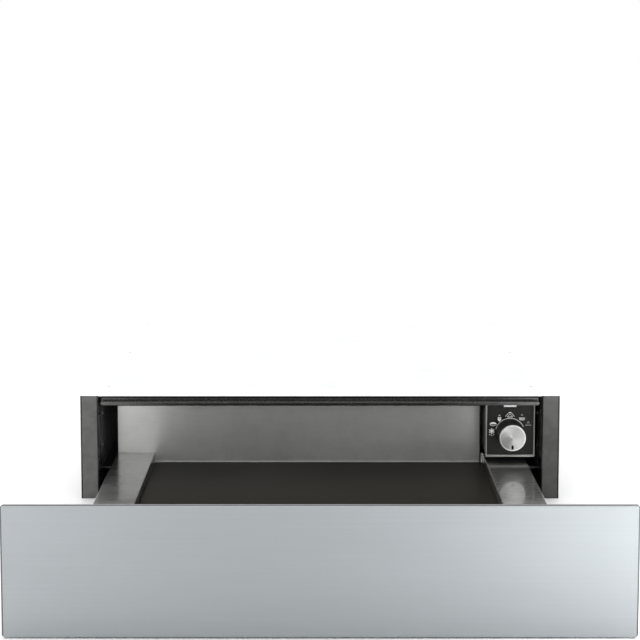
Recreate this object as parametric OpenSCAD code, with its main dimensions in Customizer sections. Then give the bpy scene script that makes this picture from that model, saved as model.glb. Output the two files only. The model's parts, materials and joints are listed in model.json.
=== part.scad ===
// Built-in warming drawer: a low steel carcass with a heated glass tray on
// full-extension slides, a plain steel front and a dial behind the front.
// X runs across, Y from front to back, Z up. The origin is the middle of the
// carcass underside. Lengths are millimetres.

/* [Carcass] */
// Width across the carcass side walls
carcass_w = 546.4; // [490:0.2:640]
// Height from the underside to the roof
carcass_h = 125.5; // [112:0.5:150]
// Depth from the frame face to the back panel
carcass_d = 516; // [460:1:600]
// Thickness of the carcass sheet
sheet_t = 1; // [0.7:0.1:1.5]
// Width of the folds that join the carcass sheets
fold_w = 12; // [10:0.5:14]
// Length of one cooling slot in the back panel
vent_len = 34; // [10:1:40]
// Height of one cooling slot
vent_h = 3; // [1:0.5:5]
// Distance between cooling slots along the row
vent_pitch = 46; // [42:1:50]
// Distance between the rows of cooling slots
vent_row_gap = 9; // [6:1:12]
// Distance from the gland's axis down to the lowest row of cooling slots
vent_drop = 20; // [10:1:24]

/* [Front frame] */
// How far a post stands out past the carcass side
post_wing = 19.8; // [14:0.1:30]
// How far the posts stand above the roof
post_rise = 2.5; // [0:0.5:10]
// Thickness of the frame sheet
frame_t = 1.2; // [0.8:0.1:1.6]
// Depth of the inner fold of a post
post_fold = 25; // [18:1:27]
// Depth of the outer fold of a post
post_edge = 8; // [4:1:12]
// Gap between a post and the end of a rail
rail_gap = 3; // [1:0.5:6]
// Distance from the frame face back to the top rail
rail_setback = 9; // [5:0.5:14]
// Height of the top rail
rail_h = 11.3; // [9:0.1:14]
// Drop from the roof to the lip of the top rail
lip_drop = 5.2; // [3:0.1:6]
// Depth of the gutter behind the lip
gutter = 1.5; // [0.5:0.1:2]
// Height of the sill under the drawer
sill_h = 6; // [3:0.5:7]
// Depth of the sill on the floor
sill_d = 24; // [12:1:25]

/* [Drawer front] */
// How far the front panel stands out past each post
front_over = 5.5; // [0:0.5:15]
// Height of the front panel's upper edge above the posts
front_rise = 0.2; // [-2:0.1:6]
// Thickness of the front panel
front_t = 20; // [16:0.5:24]
// Radius of the corners of the front panel
front_r = 3.5; // [1.5:0.5:6]
// Height of the front panel above the underside
front_lift = 1; // [0.5:0.5:4]
// Gap between the shut front and the frame
front_gap = 2; // [1.5:0.1:3]
// Thickness of the steel skin
skin_t = 0.8; // [0.5:0.1:1.2]
// Depth of the folded edge of the skin
skin_edge = 4; // [3:0.5:6]
// Distance from the panel's edge to the box behind it
backing_inset = 8; // [5:0.5:12]
// Thickness of the sheet behind the skin
backing_t = 1.2; // [0.8:0.1:1.5]
// Diameter of a rubber buffer
buffer_d = 8; // [5:0.5:10]
// Distance from the panel's upper and lower edges to the buffers
buffer_inset = 20; // [14:1:40]
// Slack between a buffer and the post when shut
buffer_slack = 0.3; // [0.1:0.1:0.5]

/* [Tray] */
// Thickness of the tray sheet
tray_t = 1; // [0.7:0.1:1.5]
// Height of the tray's ledges
ledge_z = 38.5; // [36:0.5:41]
// Width of the left ledge
ledge_left = 47; // [30:0.5:60]
// Width of the right ledge
ledge_right = 50.5; // [30:0.5:60]
// How far the ledges reach out over the slides
ledge_over = 13.5; // [10:0.5:16]
// Height of the fold along the ledges' outer edges
ledge_fold = 4; // [2:0.5:5]
// Width of the ledge behind the front
ledge_front = 12; // [6:0.5:30]
// Depth of the warming base below the ledges
recess = 12; // [8:0.5:13]
// Height of the tray's underside
skirt_z = 8; // [7:0.5:9]
// Width of the lip that carries the glass
lip_w = 12; // [6:0.5:18]
// Thickness of the glass base
glass_t = 4; // [3:0.5:5]
// Gap round the glass base
glass_gap = 0.3; // [0.1:0.1:1]
// Height of the strip that holds the glass at the back
retainer_h = 0.8; // [0.8:0.1:3]
// Depth of the strip that holds the glass at the back
retainer_d = 2; // [2:0.5:8]
// Gap between the back wall and the roof
wall_drop = 25; // [16:0.5:45]
// Width of the folds on the back wall
wall_fold = 8; // [4:0.5:12]
// Gap between the back wall and the control unit
wall_gap = 2.5; // [1:0.5:6]
// Thickness of the brackets that hold the front
bracket_t = 1.5; // [1:0.1:2.5]
// Length of the brackets along the tray
bracket_len = 55; // [30:1:65]
// Width of the foot by which a bracket holds the front
bracket_foot = 20; // [18:1:28]

/* [Heating] */
// Thickness of the aluminium heat spreader
plate_t = 1.5; // [1:0.1:2.5]
// Gap between the heat spreader and the lip
plate_gap = 2; // [1:0.5:6]
// Diameter of the heating cord
cord_d = 3; // [2:0.1:3.5]
// Distance between the runs of the heating cord
cord_pitch = 44; // [30:1:60]
// Distance from the spreader's edge to the heating cord
cord_margin = 24; // [15:1:40]
// Thickness of the insulation
wool_t = 7; // [4:0.5:8]
// Thickness of the pan under the tray
pan_t = 1; // [0.7:0.1:1.2]
// Diameter of the thermal cut-out
cutout_d = 17; // [12:0.5:20]
// Height of the thermal cut-out
cutout_h = 6; // [4:0.5:7]

/* [Slides] */
// Distance from the frame face to the slides
slide_start = 30; // [29:1:32]
// Distance from the slides' back end to the back panel
slide_room = 35; // [30:1:60]
// Width of the channels between the slides and the carcass
spacer_t = 16; // [12:0.5:20]
// Thickness of the sheet of those channels
spacer_sheet = 2; // [1.5:0.1:3]
// Thickness of a slide
slide_t = 12.7; // [12.5:0.1:13]
// Height of a slide
slide_h = 27; // [26.5:0.5:29]
// Height of the middle of the slides
slide_z = 18.5; // [18:0.5:20]
// Thickness of the slide steel
slide_steel = 1.2; // [1:0.1:1.3]
// Diameter of the bearing balls
ball_d = 2.5; // [2.2:0.1:2.7]
// Running clearance each side of a ball
ball_slack = 0.05; // [0.02:0.01:0.1]
// Balls in one row of a cage
ball_count = 6; // [3:1:10]
// Thickness of the ball cages
cage_t = 0.5; // [0.4:0.1:0.7]
// Gap each side of a cage's web
cage_gap = 0.7; // [0.5:0.05:0.8]

/* [Travel] */
// Travel that is left from where the drawer stands open
travel_left = 38.5; // [0:0.5:120]

/* [Control unit] */
// Width of the bezel
bezel_w = 61.7; // [56:0.1:66]
// Gap between the bezel and the right post
bezel_gap = 3.8; // [2:0.1:8]
// Height of the bezel's lower edge
bezel_z = 43.7; // [42:0.1:50]
// Gap between the bezel and the roof
bezel_drop = 4.5; // [3:0.1:8]
// Distance from the frame face back to the bezel
bezel_y = 29; // [27:0.5:34]
// Width of the bezel's sides
bezel_side = 2.2; // [1.5:0.1:4]
// Height of the bezel's upper and lower bars
bezel_bar = 3.2; // [1.5:0.1:4]
// Depth of the bezel
bezel_d = 4; // [3:0.5:6]
// How far the fascia lies behind the bezel's face
fascia_sink = 2; // [1:0.1:2.5]
// Thickness of the fascia
fascia_t = 2; // [1.5:0.1:3]
// Depth of the box behind the fascia
control_d = 110; // [90:1:130]
// Thickness of the control box sheet
control_t = 0.8; // [0.6:0.1:1.2]
// Gap between the bezel's left and lower edges and the control box
control_inset = 1.5; // [1:0.1:3]
// Width of the pilot lens
pilot_w = 15.2; // [8:0.1:22]
// Height of the pilot lens
pilot_h = 2.4; // [2:0.1:5]
// Distance from the bezel's upper edge to the middle of the pilot lens
pilot_drop = 12; // [8:0.5:16]

/* [Dial] */
// Height of the dial's axis above the bezel's lower edge
dial_rise = 30.4; // [26:0.1:34]
// Diameter of the dial's face
dial_d = 32.5; // [26:0.5:38]
// How far the black body stands out round the face
dial_rim = 0.5; // [0.2:0.1:1]
// How far the dial's face stands in front of the fascia
dial_reach = 26.4; // [22:0.1:27]
// Thickness of the dial's face
dial_face_t = 2; // [1:0.1:3]
// Gap between the dial and the fascia
dial_gap = 0.6; // [0.3:0.1:1.5]
// Width of the pointer slot
pointer_w = 1.7; // [1:0.1:3]
// Length of the pointer slot
pointer_len = 4.7; // [3:0.1:7]
// Distance from the pointer slot to the edge of the face
pointer_edge = 1.8; // [1:0.1:4]
// Diameter of the spindle
spindle_d = 6; // [4:0.1:7]
// Radial clearance of the spindle in its bush
spindle_slack = 0.05; // [0.02:0.01:0.1]
// Diameter of the bush round the spindle
bush_d = 10; // [8.5:0.1:12]
// Width of the thermostat
thermostat_w = 34; // [28:1:34]
// Depth of the thermostat
thermostat_d = 34; // [25:1:45]

/* [Push latch] */
// Width of the latch body
latch_w = 34; // [24:1:50]
// Height of the latch body
latch_h = 22; // [18:1:30]
// Depth of the latch body
latch_d = 22; // [20:0.5:24]
// Height of the latch's axis
latch_z = 60; // [52:1:66]
// Diameter of the plunger
plunger_d = 10; // [8:0.5:12]
// Radial clearance of the plunger
plunger_slack = 0.05; // [0.02:0.01:0.1]
// Gap between the shut drawer and the plunger
plunger_gap = 0.5; // [0.2:0.1:1]
// Stroke of the plunger
plunger_stroke = 6; // [3:0.5:8]
// Diameter of the spring wire
wire_d = 0.8; // [0.5:0.1:1]
// Turns of the spring
spring_turns = 5; // [3:1:7]

/* [Mains inlet] */
// Diameter of the cable hole
inlet_d = 7.4; // [5:0.1:9]
// Diameter of the gland's hexagon across its corners
gland_d = 22; // [18:0.5:26]
// Thickness of the gland's head outside the back panel
gland_head = 5; // [3:0.5:8]
// Length of the gland inside the back panel
gland_len = 10; // [6:0.5:14]
// Distance from the roof down to the gland's axis
gland_drop = 20.5; // [16:0.5:30]
// Diameter of the wire loom
loom_d = 6; // [4:0.5:7]
// Diameter of the heater lead
lead_d = 4.5; // [3:0.1:5]
// Radius of the heater lead's bends
lead_bend = 14; // [10:0.5:20]

/* [Fasteners] */
// Diameter of a screw
screw_d = 4; // [3:0.1:4.5]
// Diameter of a screw head
head_d = 7.6; // [6:0.1:8]
// Height of a screw head
head_h = 1.8; // [1.2:0.1:2.2]
// Length of a sheet metal screw
screw_len = 6; // [5:0.5:8]
// Clearance round a screw
screw_slack = 0.1; // [0.05:0.05:0.3]
// Distance from a sheet's end to its first screw
screw_margin = 34; // [20:1:60]
// Diameter of the cabinet fixing holes
fix_d = 4.5; // [3:0.1:6]
// Distance from the frame face to the cabinet fixing holes
fix_y = 45; // [38:1:60]
// Height of the lower cabinet fixing hole
fix_z = 56; // [50:1:60]
// Distance between the cabinet fixing holes
fix_gap = 40; // [20:1:50]

/* [Hidden] */
$fn = 48;
cut = 1;                    // how far a cutter stands past a face
tab_gap = 0.5;              // gap between folds that lie beside each other
face_y = -carcass_d / 2;    // the frame's face, from the origin

side_out = carcass_w / 2;
side_in = side_out - sheet_t;
post_in = side_in - frame_t;
post_out = side_out + post_wing;
post_top = carcass_h + post_rise;
fold_y = post_fold + 2 * tab_gap;
fold_mid = side_in - fold_w / 2;
roof_z = carcass_h - sheet_t;
rail_half = post_in - rail_gap;
roof_y = rail_setback + frame_t;
rail_lip_z = carcass_h - lip_drop;
gutter_z = rail_lip_z - gutter;
back_in = carcass_d - sheet_t;
screw_hole = screw_d / 2 + screw_slack;
screw_inset = 6;            // from a sheet's edge to a screw near it
screw_tip = 1;              // how far a screw's end stands past the last sheet
core_bite = 3;              // how deep the front's screws go into its board

// The drawer is drawn shut and then moved out by the opening.
front_w = 2 * (post_out + front_over);
front_h = post_top + front_rise - front_lift;
tray_half = side_in - spacer_t - slide_t;
ledge_half = tray_half + ledge_over;
latch_y = back_in - latch_d;
plunger_stand = 6;          // how far the plunger still stands out when pushed
plunger_y = latch_y - plunger_stroke - plunger_stand;
tray_y0 = -front_gap;
tray_y1 = plunger_y - plunger_gap - tray_t;
base_z = ledge_z - recess;
lip_top = base_z - glass_t;
recess_x0 = -ledge_half + ledge_left;
recess_x1 = ledge_half - ledge_right;
recess_y0 = tray_y0 + ledge_front;
wall_top = roof_z - wall_drop;
pan_top = skirt_z + pan_t;
pan_gap = 1;                // gap round the pan under the tray
pan_rim = 1.5;              // height of the pan's folded edges
front_face = -front_gap - front_t;
skin_back = front_face + skin_edge;

bezel_x1 = post_in - bezel_gap;
bezel_x0 = bezel_x1 - bezel_w;
bezel_top = roof_z - bezel_drop;
fascia_y = bezel_y + fascia_sink;
fascia_back = fascia_y + fascia_t;
control_x0 = bezel_x0 + control_inset;
control_x1 = side_in - fold_w - tab_gap;
control_y1 = fascia_back + control_d;
dial_x = (bezel_x0 + bezel_x1) / 2;
dial_y = fascia_y - dial_reach;
dial_z = bezel_z + dial_rise;
dial_back = fascia_y - dial_gap;
collar_d = 3;               // depth of the dial's collar
pocket_d = 6;               // depth of the hollow in the dial's back
pocket_gap = 1.5;           // gap between that hollow and the bush
face_edge = 0.5;            // chamfer round the dial's face
slot_floor = 0.6;           // metal left under the pointer slot
spindle_room = 4;           // metal of the dial's body before its bore
spindle_y = dial_y + dial_face_t + spindle_room;
spindle_share = 0.7;        // how far the spindle goes through the thermostat
spindle_end = fascia_back + thermostat_d * spindle_share;
bush_reach = 2;             // how far the bush stands in front of the fascia
pilot_z = bezel_top - pilot_drop;
lens_proud = 0.2;           // how far the lens stands in front of the fascia
lens_flange = 1;            // width of the flange behind the fascia
lens_flange_t = 1.5;
lamp_d = 8;
lamp_len = 18.5;
wall_x1 = bezel_x0 - wall_gap;

// Slide sections are measured out from the tray's skirt.
slide_y1 = back_in - slide_room;
slide_len = slide_y1 - slide_start;
travel = slide_len;
opening = travel - travel_left;
race = ball_d + 2 * ball_slack;
outer_half = slide_h / 2;
middle_half = outer_half - slide_steel - race;
inner_half = middle_half - slide_steel - race;
outer_web = slide_t - slide_steel;
outer_cage_web = outer_web - cage_gap - cage_t;
middle_web = outer_cage_web - cage_gap - slide_steel;
inner_cage_web = middle_web - cage_gap - cage_t;
inner_reach = inner_cage_web - cage_gap;
edge_gap = 0.3;             // gap between the outer flanges' edges and the inner web
outer_edge = slide_steel + edge_gap;
middle_step = 1;            // how far the middle flanges stay back from that web
middle_edge = slide_steel + middle_step;
cage_margin = 2.5;          // from a cage's end to where its member may reach
cage_y0 = slide_start + travel / 4 + cage_margin;
cage_len = slide_len - travel / 2 - 2 * cage_margin;
spacer_inset = 6;           // from a slide's end to its spacer's end
spacer_drop = 2;            // from a slide's edge to its spacer's edge
low_head_d = 6.8;           // head of the screws inside the slides
low_head_h = 1.4;
slide_screws_y = [for (share = [0.09, 0.5, 0.91]) slide_start + share * slide_len];

roof_screws_y = [fold_y + screw_margin, (fold_y + carcass_d) / 2, carcass_d - screw_margin];
back_screws_z = [for (share = [0.2, 0.5, 0.8]) share * carcass_h];
post_screws_z = [for (share = [0.5, 0.84]) share * carcass_h];
front_screws_z = [ledge_z - tray_t - screw_inset, pan_top + screw_inset];
front_screw_x = tray_half - 2 * screw_inset;
wall_screws_x = [for (share = [0.1, 0.37, 0.63, 0.9]) -tray_half + share * (wall_x1 + tray_half)];
wall_screw_z = skirt_z + screw_inset;
buffer_x = (post_in + post_out) / 2;
buffers_z = [front_lift + buffer_inset, front_lift + front_h - buffer_inset];

plunger_hold = 6;           // how deep the plunger sits in the latch
plunger_end = latch_y + plunger_hold;
tip_len = 2;                // the plunger's narrower tip
tip_step = 0.8;
latch_wall = 2;             // the latch's closed end behind the spring
latch_ear_w = 10;           // the latch's two fixing ears
latch_ear_h = 16;
latch_ear_t = 3;
spring_len = latch_d - plunger_hold - latch_wall;

gland_x = dial_x;
gland_z = roof_z - gland_drop;
gland_thread_d = gland_d * 0.6;
gland_cap_d = gland_d * 0.72;
gland_cap = 3;              // length of the gland's cap past its hexagon
gland_nut = 4;              // thickness of the nut inside the back panel
vent_z = gland_z - vent_drop;
terminal_z = dial_z;
terminal_w = 36;
terminal_d = 18;
terminal_h = 18;
terminal_pitch = 12;
terminal_hole_d = 4.4;
terminal_hole = 6;          // depth of the holes
lead_side = 8;              // from the dial's axis to the lead
lead_x = dial_x - lead_side;
lead_lift_z = 0.8;          // gap between the lead and the floor
lead_z = sheet_t + lead_d / 2 + lead_lift_z;
lead_rear = 10;             // from the lead's drop to the back panel
lead_rear_y = back_in - lead_rear;
lead_rise = 6;              // height of the lead's entry above the pan
lead_entry_z = pan_top + lead_rise;
lead_hole_gap = 0.5;
lead_straight = 4;          // lead that stays level behind the tray
lead_tail = 12;             // lead between the tray's back and the connector
connector_w = 18;
connector_d = 18;
connector_h = 12;
cutout_room = 2;            // gap between the cut-out and the wool

// ---- helpers ----

module box(x0, x1, y0, y1, z0, z1) {
    translate([x0, y0, z0]) cube([x1 - x0, y1 - y0, z1 - z0]);
}

module rod_x(x0, x1, y, z, r) {
    translate([x0, y, z]) rotate([0, 90, 0]) cylinder(h = x1 - x0, r = r);
}

module rod_y(y0, y1, x, z, r) {
    translate([x, y0, z]) rotate([-90, 0, 0]) cylinder(h = y1 - y0, r = r);
}

module rod_z(z0, z1, x, y, r) {
    translate([x, y, z0]) cylinder(h = z1 - z0, r = r);
}

// Fixed pieces stand on the frame's face; the drawer's stand out by the opening.
module fixed() {
    translate([0, face_y, 0]) children();
}

module moved(share) {
    translate([0, face_y - opening * share, 0]) children();
}

module left() {
    mirror([1, 0, 0]) children();
}

// A slab across X and Z with round corners, from y0 to y1.
module rounded_slab(w, h, z0, y0, y1, r) {
    box(-w / 2 + r, w / 2 - r, y0, y1, z0, z0 + h);
    box(-w / 2, w / 2, y0, y1, z0 + r, z0 + h - r);
    for (x = [-w / 2 + r, w / 2 - r], z = [z0 + r, z0 + h - r])
        rod_y(y0, y1, x, z, r);
}

// A pan-head screw: the shank goes down from the origin, the head up.
module pan_screw(shank) {
    difference() {
        union() {
            translate([0, 0, -shank]) cylinder(h = shank, d = screw_d);
            cylinder(h = head_h * 0.55, d = head_d);
            translate([0, 0, head_h * 0.55]) cylinder(h = head_h * 0.45, d1 = head_d, d2 = head_d * 0.72);
        }
        for (a = [0, 90])
            rotate([0, 0, a]) translate([-head_d * 0.28, -0.4, head_h * 0.35]) cube([head_d * 0.56, 0.8, head_h]);
    }
}

// ---- carcass ----

module carcass_side() {
    color("dimgray") difference() {
        union() {
            box(side_in, side_out, frame_t, carcass_d, sheet_t, roof_z);
            for (z = [sheet_t, roof_z - sheet_t])
                box(side_in - fold_w, side_in, fold_y, back_in, z, z + sheet_t);
            box(side_in - fold_w, side_in, back_in - sheet_t, back_in, 2 * sheet_t, roof_z - sheet_t);
        }
        for (z = [fix_z, fix_z + fix_gap])
            rod_x(side_in - cut, side_out + cut, fix_y, z, fix_d / 2);
        for (z = post_screws_z)
            rod_x(side_in - cut, side_out + cut, (frame_t + post_fold) / 2, z, screw_hole);
        for (y = slide_screws_y)
            rod_x(side_in - cut, side_out + cut, y, slide_z, screw_hole);
        for (y = roof_screws_y)
            rod_z(roof_z - sheet_t - cut, roof_z + cut, fold_mid, y, screw_hole);
        for (z = back_screws_z)
            rod_y(back_in - sheet_t - cut, back_in + cut, fold_mid, z, screw_hole);
    }
}

module housing_right_side() { fixed() carcass_side(); }

module housing_left_side() { fixed() left() carcass_side(); }

module housing_floor() {
    color("gray") fixed() box(-side_out, side_out, frame_t, carcass_d, 0, sheet_t);
}

module housing_roof() {
    color("gray") fixed() difference() {
        box(-side_out, side_out, roof_y, carcass_d, roof_z, carcass_h);
        for (x = [-fold_mid, fold_mid], y = roof_screws_y)
            translate([x, y, roof_z]) cylinder(h = sheet_t, r1 = screw_hole, r2 = head_d / 2);
    }
}

module housing_back() {
    fold_half = side_in - fold_w - tab_gap;
    vent_x0 = -fold_half + 2 * fold_w;
    vents = floor((gland_x - 2 * gland_d - vent_x0) / vent_pitch);
    color("gray") fixed() difference() {
        union() {
            box(-side_in, side_in, back_in, carcass_d, sheet_t, roof_z);
            for (z = [sheet_t, roof_z - sheet_t])
                box(-fold_half, fold_half, back_in - fold_w, back_in, z, z + sheet_t);
        }
        for (i = [0 : vents - 1], row = [0, 1])
            box(vent_x0 + i * vent_pitch, vent_x0 + i * vent_pitch + vent_len, back_in - cut, carcass_d + cut,
                vent_z + row * vent_row_gap, vent_z + row * vent_row_gap + vent_h);
        rod_y(back_in - cut, carcass_d + cut, gland_x, gland_z, gland_thread_d / 2 + tab_gap);
        for (x = [-fold_mid, fold_mid], z = back_screws_z)
            rod_y(back_in - cut, carcass_d + cut, x, z, screw_hole);
    }
}

module housing_screws() {
    color("silver") fixed() {
        for (x = [-fold_mid, fold_mid], y = roof_screws_y) {
            translate([x, y, roof_z]) cylinder(h = sheet_t, r1 = screw_d / 2, r2 = head_d / 2 - screw_slack);
            rod_z(carcass_h - screw_len, roof_z, x, y, screw_d / 2);
        }
        for (x = [-fold_mid, fold_mid], z = back_screws_z)
            translate([x, carcass_d, z]) rotate([-90, 0, 0]) pan_screw(screw_len);
    }
}

// ---- front frame ----

module post() {
    color([0.33, 0.33, 0.33]) difference() {
        union() {
            box(post_in, post_out, 0, frame_t, 0, post_top);
            box(post_in, side_in, frame_t, post_fold, 2 * sheet_t + tab_gap, roof_z - sheet_t - tab_gap);
            box(post_out - frame_t, post_out, frame_t, post_edge, 0, post_top);
        }
        for (z = post_screws_z)
            rod_x(post_in - cut, side_in + cut, (frame_t + post_fold) / 2, z, screw_hole);
    }
}

module right_post() { fixed() post(); }

module left_post() { fixed() left() post(); }

module post_screws() {
    color("dimgray") fixed() for (turn = [0, 1]) mirror([turn, 0, 0])
        for (z = post_screws_z)
            translate([post_in, (frame_t + post_fold) / 2, z]) rotate([0, -90, 0]) pan_screw(screw_len);
}

module top_rail() {
    color([0.3, 0.3, 0.3]) fixed() {
        box(-rail_half, rail_half, rail_setback, roof_y, carcass_h - rail_h, carcass_h);
        box(-rail_half, rail_half, frame_t, rail_setback, gutter_z - frame_t, gutter_z);
        box(-rail_half, rail_half, 0, frame_t, gutter_z - frame_t, rail_lip_z);
        box(-rail_half, rail_half, roof_y, post_fold, roof_z - frame_t, roof_z);
    }
}

module bottom_rail() {
    color([0.3, 0.3, 0.3]) fixed() {
        box(-rail_half, rail_half, 0, frame_t, 0, sill_h);
        box(-rail_half, rail_half, frame_t, sill_d, sheet_t, sheet_t + frame_t);
    }
}

// ---- slides: the section is drawn for the right side ----

module slide_spacer() {
    half = outer_half - spacer_drop;
    color("gray") difference() {
        box(tray_half + slide_t, side_in, slide_start + spacer_inset, slide_y1 - spacer_inset,
            slide_z - half, slide_z + half);
        box(tray_half + slide_t + spacer_sheet, side_in + cut, slide_start, slide_y1,
            slide_z - half + spacer_sheet, slide_z + half - spacer_sheet);
        for (y = slide_screws_y)
            rod_x(tray_half + slide_t - cut, side_in + cut, y, slide_z, screw_hole);
    }
}

// A channel: its web from web to web + slide_steel, its flanges reaching to edge.
module channel(web, edge, half) {
    x0 = min(web, edge);
    x1 = max(web + slide_steel, edge);
    box(tray_half + web, tray_half + web + slide_steel, slide_start, slide_y1, slide_z - half, slide_z + half);
    for (z = [slide_z - half, slide_z + half - slide_steel])
        box(tray_half + x0, tray_half + x1, slide_start, slide_y1, z, z + slide_steel);
}

module slide_outer() {
    color("lightgray") difference() {
        channel(outer_web, outer_edge, outer_half);
        for (y = slide_screws_y)
            translate([tray_half + outer_web, y, slide_z]) rotate([0, 90, 0])
                cylinder(h = slide_steel, r1 = head_d / 2, r2 = screw_hole);
    }
}

module slide_middle() {
    color("lightgray") channel(middle_web, middle_edge, middle_half);
}

module slide_inner() {
    color("lightgray") difference() {
        channel(0, inner_reach, inner_half);
        for (y = slide_screws_y)
            rod_x(tray_half - cut, tray_half + slide_steel + cut, y, slide_z, screw_hole);
    }
}

// A folded cage with its two rows of balls.
module ball_cage(web, half) {
    mid = half + race / 2;
    ball_x = (slide_steel + web) / 2;
    step = cage_len / ball_count;
    difference() {
        color("darkgray") union() {
            box(tray_half + web, tray_half + web + cage_t, cage_y0, cage_y0 + cage_len,
                slide_z - mid - cage_t / 2, slide_z + mid + cage_t / 2);
            for (z = [-mid, mid])
                box(tray_half + ball_x - ball_d, tray_half + web, cage_y0, cage_y0 + cage_len,
                    slide_z + z - cage_t / 2, slide_z + z + cage_t / 2);
        }
        for (i = [0 : ball_count - 1], z = [-mid, mid])
            rod_z(slide_z + z - cut, slide_z + z + cut, tray_half + ball_x, cage_y0 + (i + 0.5) * step,
                ball_d / 2 + ball_slack);
    }
    color("silver") for (i = [0 : ball_count - 1], z = [-mid, mid])
        translate([tray_half + ball_x, cage_y0 + (i + 0.5) * step, slide_z + z]) sphere(d = ball_d);
}

module outer_cage() { ball_cage(outer_cage_web, middle_half); }

module inner_cage() { ball_cage(inner_cage_web, inner_half); }

module slide_right_spacer() { fixed() slide_spacer(); }

module slide_left_spacer() { fixed() left() slide_spacer(); }

module slide_right_outer() { fixed() slide_outer(); }

module slide_left_outer() { fixed() left() slide_outer(); }

module slide_right_middle() { moved(0.5) slide_middle(); }

module slide_left_middle() { moved(0.5) left() slide_middle(); }

module slide_right_inner() { moved(1) slide_inner(); }

module slide_left_inner() { moved(1) left() slide_inner(); }

module slide_right_outer_cage() { moved(0.25) outer_cage(); }

module slide_left_outer_cage() { moved(0.25) left() outer_cage(); }

module slide_right_inner_cage() { moved(0.75) inner_cage(); }

module slide_left_inner_cage() { moved(0.75) left() inner_cage(); }

module slide_housing_screws() {
    web = tray_half + outer_web;
    color("silver") fixed() for (turn = [0, 1]) mirror([turn, 0, 0])
        for (y = slide_screws_y) {
            translate([web, y, slide_z]) rotate([0, 90, 0])
                cylinder(h = slide_steel, r1 = head_d / 2 - screw_slack, r2 = screw_d / 2);
            rod_x(web + slide_steel, side_out + screw_tip, y, slide_z, screw_d / 2);
        }
}

module slide_drawer_screws() {
    color("silver") moved(1) for (turn = [0, 1]) mirror([turn, 0, 0])
        for (y = slide_screws_y) {
            rod_x(tray_half - tray_t - core_bite, tray_half + slide_steel, y, slide_z, screw_d / 2);
            rod_x(tray_half + slide_steel, tray_half + slide_steel + low_head_h, y, slide_z, low_head_d / 2);
        }
}

// ---- control unit ----

module control_box() {
    color("silver") fixed() difference() {
        box(control_x0, control_x1, fascia_back, control_y1, bezel_z + control_inset, roof_z);
        box(control_x0 + control_t, control_x1 - control_t, fascia_back - cut, control_y1 - control_t,
            bezel_z + control_inset + control_t, roof_z - control_t);
        rod_y(control_y1 - control_t - cut, control_y1 + cut, dial_x, terminal_z, loom_d / 2 + screw_slack);
    }
}

module control_fascia() {
    color([0.12, 0.12, 0.11]) fixed() difference() {
        box(bezel_x0 + bezel_side, bezel_x1 - bezel_side, fascia_y, fascia_back,
            bezel_z + bezel_bar, bezel_top - bezel_bar);
        rod_y(fascia_y - cut, fascia_back + cut, dial_x, dial_z, bush_d / 2 + screw_slack);
        box(dial_x - pilot_w / 2 - glass_gap, dial_x + pilot_w / 2 + glass_gap, fascia_y - cut, fascia_back + cut,
            pilot_z - pilot_h / 2 - glass_gap, pilot_z + pilot_h / 2 + glass_gap);
    }
}

module control_bezel() {
    color([0.42, 0.42, 0.4]) fixed() difference() {
        box(bezel_x0, bezel_x1, bezel_y, bezel_y + bezel_d, bezel_z, bezel_top);
        box(bezel_x0 + bezel_side, bezel_x1 - bezel_side, bezel_y - cut, bezel_y + bezel_d + cut,
            bezel_z + bezel_bar, bezel_top - bezel_bar);
    }
}

module pilot_lens() {
    color("white") fixed() {
        box(dial_x - pilot_w / 2, dial_x + pilot_w / 2, fascia_y - lens_proud, fascia_back,
            pilot_z - pilot_h / 2, pilot_z + pilot_h / 2);
        box(dial_x - pilot_w / 2 - lens_flange, dial_x + pilot_w / 2 + lens_flange,
            fascia_back, fascia_back + lens_flange_t,
            pilot_z - pilot_h / 2 - lens_flange, pilot_z + pilot_h / 2 + lens_flange);
    }
}

module pilot_lamp() {
    y0 = fascia_back + lens_flange_t;
    color("orange") fixed() rod_y(y0, y0 + lamp_len, dial_x, pilot_z, lamp_d / 2);
}

module dial_body() {
    color([0.08, 0.08, 0.08]) fixed() difference() {
        union() {
            rod_y(dial_y + dial_face_t, dial_back - collar_d, dial_x, dial_z, dial_d / 2 + dial_rim);
            rod_y(dial_back - collar_d, dial_back, dial_x, dial_z, dial_d / 2 + 2 * dial_rim);
        }
        rod_y(dial_back - pocket_d, fascia_y, dial_x, dial_z, bush_d / 2 + pocket_gap);
        rod_y(spindle_y, fascia_y, dial_x, dial_z, spindle_d / 2);
    }
}

module dial_face() {
    r = dial_d / 2;
    color("silver") fixed() difference() {
        translate([dial_x, dial_y, dial_z]) rotate([-90, 0, 0]) rotate_extrude()
            polygon([[0, 0], [r - face_edge, 0], [r, face_edge], [r, dial_face_t], [0, dial_face_t]]);
        box(dial_x - pointer_w / 2, dial_x + pointer_w / 2, dial_y - cut, dial_y + dial_face_t - slot_floor,
            dial_z - r + pointer_edge, dial_z - r + pointer_edge + pointer_len);
    }
}

module dial_spindle() {
    color("lightgray") fixed() rod_y(spindle_y, spindle_end, dial_x, dial_z, spindle_d / 2);
}

module thermostat() {
    w = thermostat_w;
    color("gainsboro") fixed() difference() {
        union() {
            box(dial_x - w / 2, dial_x + w / 2, fascia_back, fascia_back + thermostat_d,
                dial_z - w / 2, dial_z + w / 2);
            rod_y(fascia_y - bush_reach, fascia_back, dial_x, dial_z, bush_d / 2);
        }
        rod_y(fascia_y - bush_reach - cut, spindle_end + tab_gap, dial_x, dial_z, spindle_d / 2 + spindle_slack);
    }
}

// ---- mains inlet and wiring ----

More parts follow.
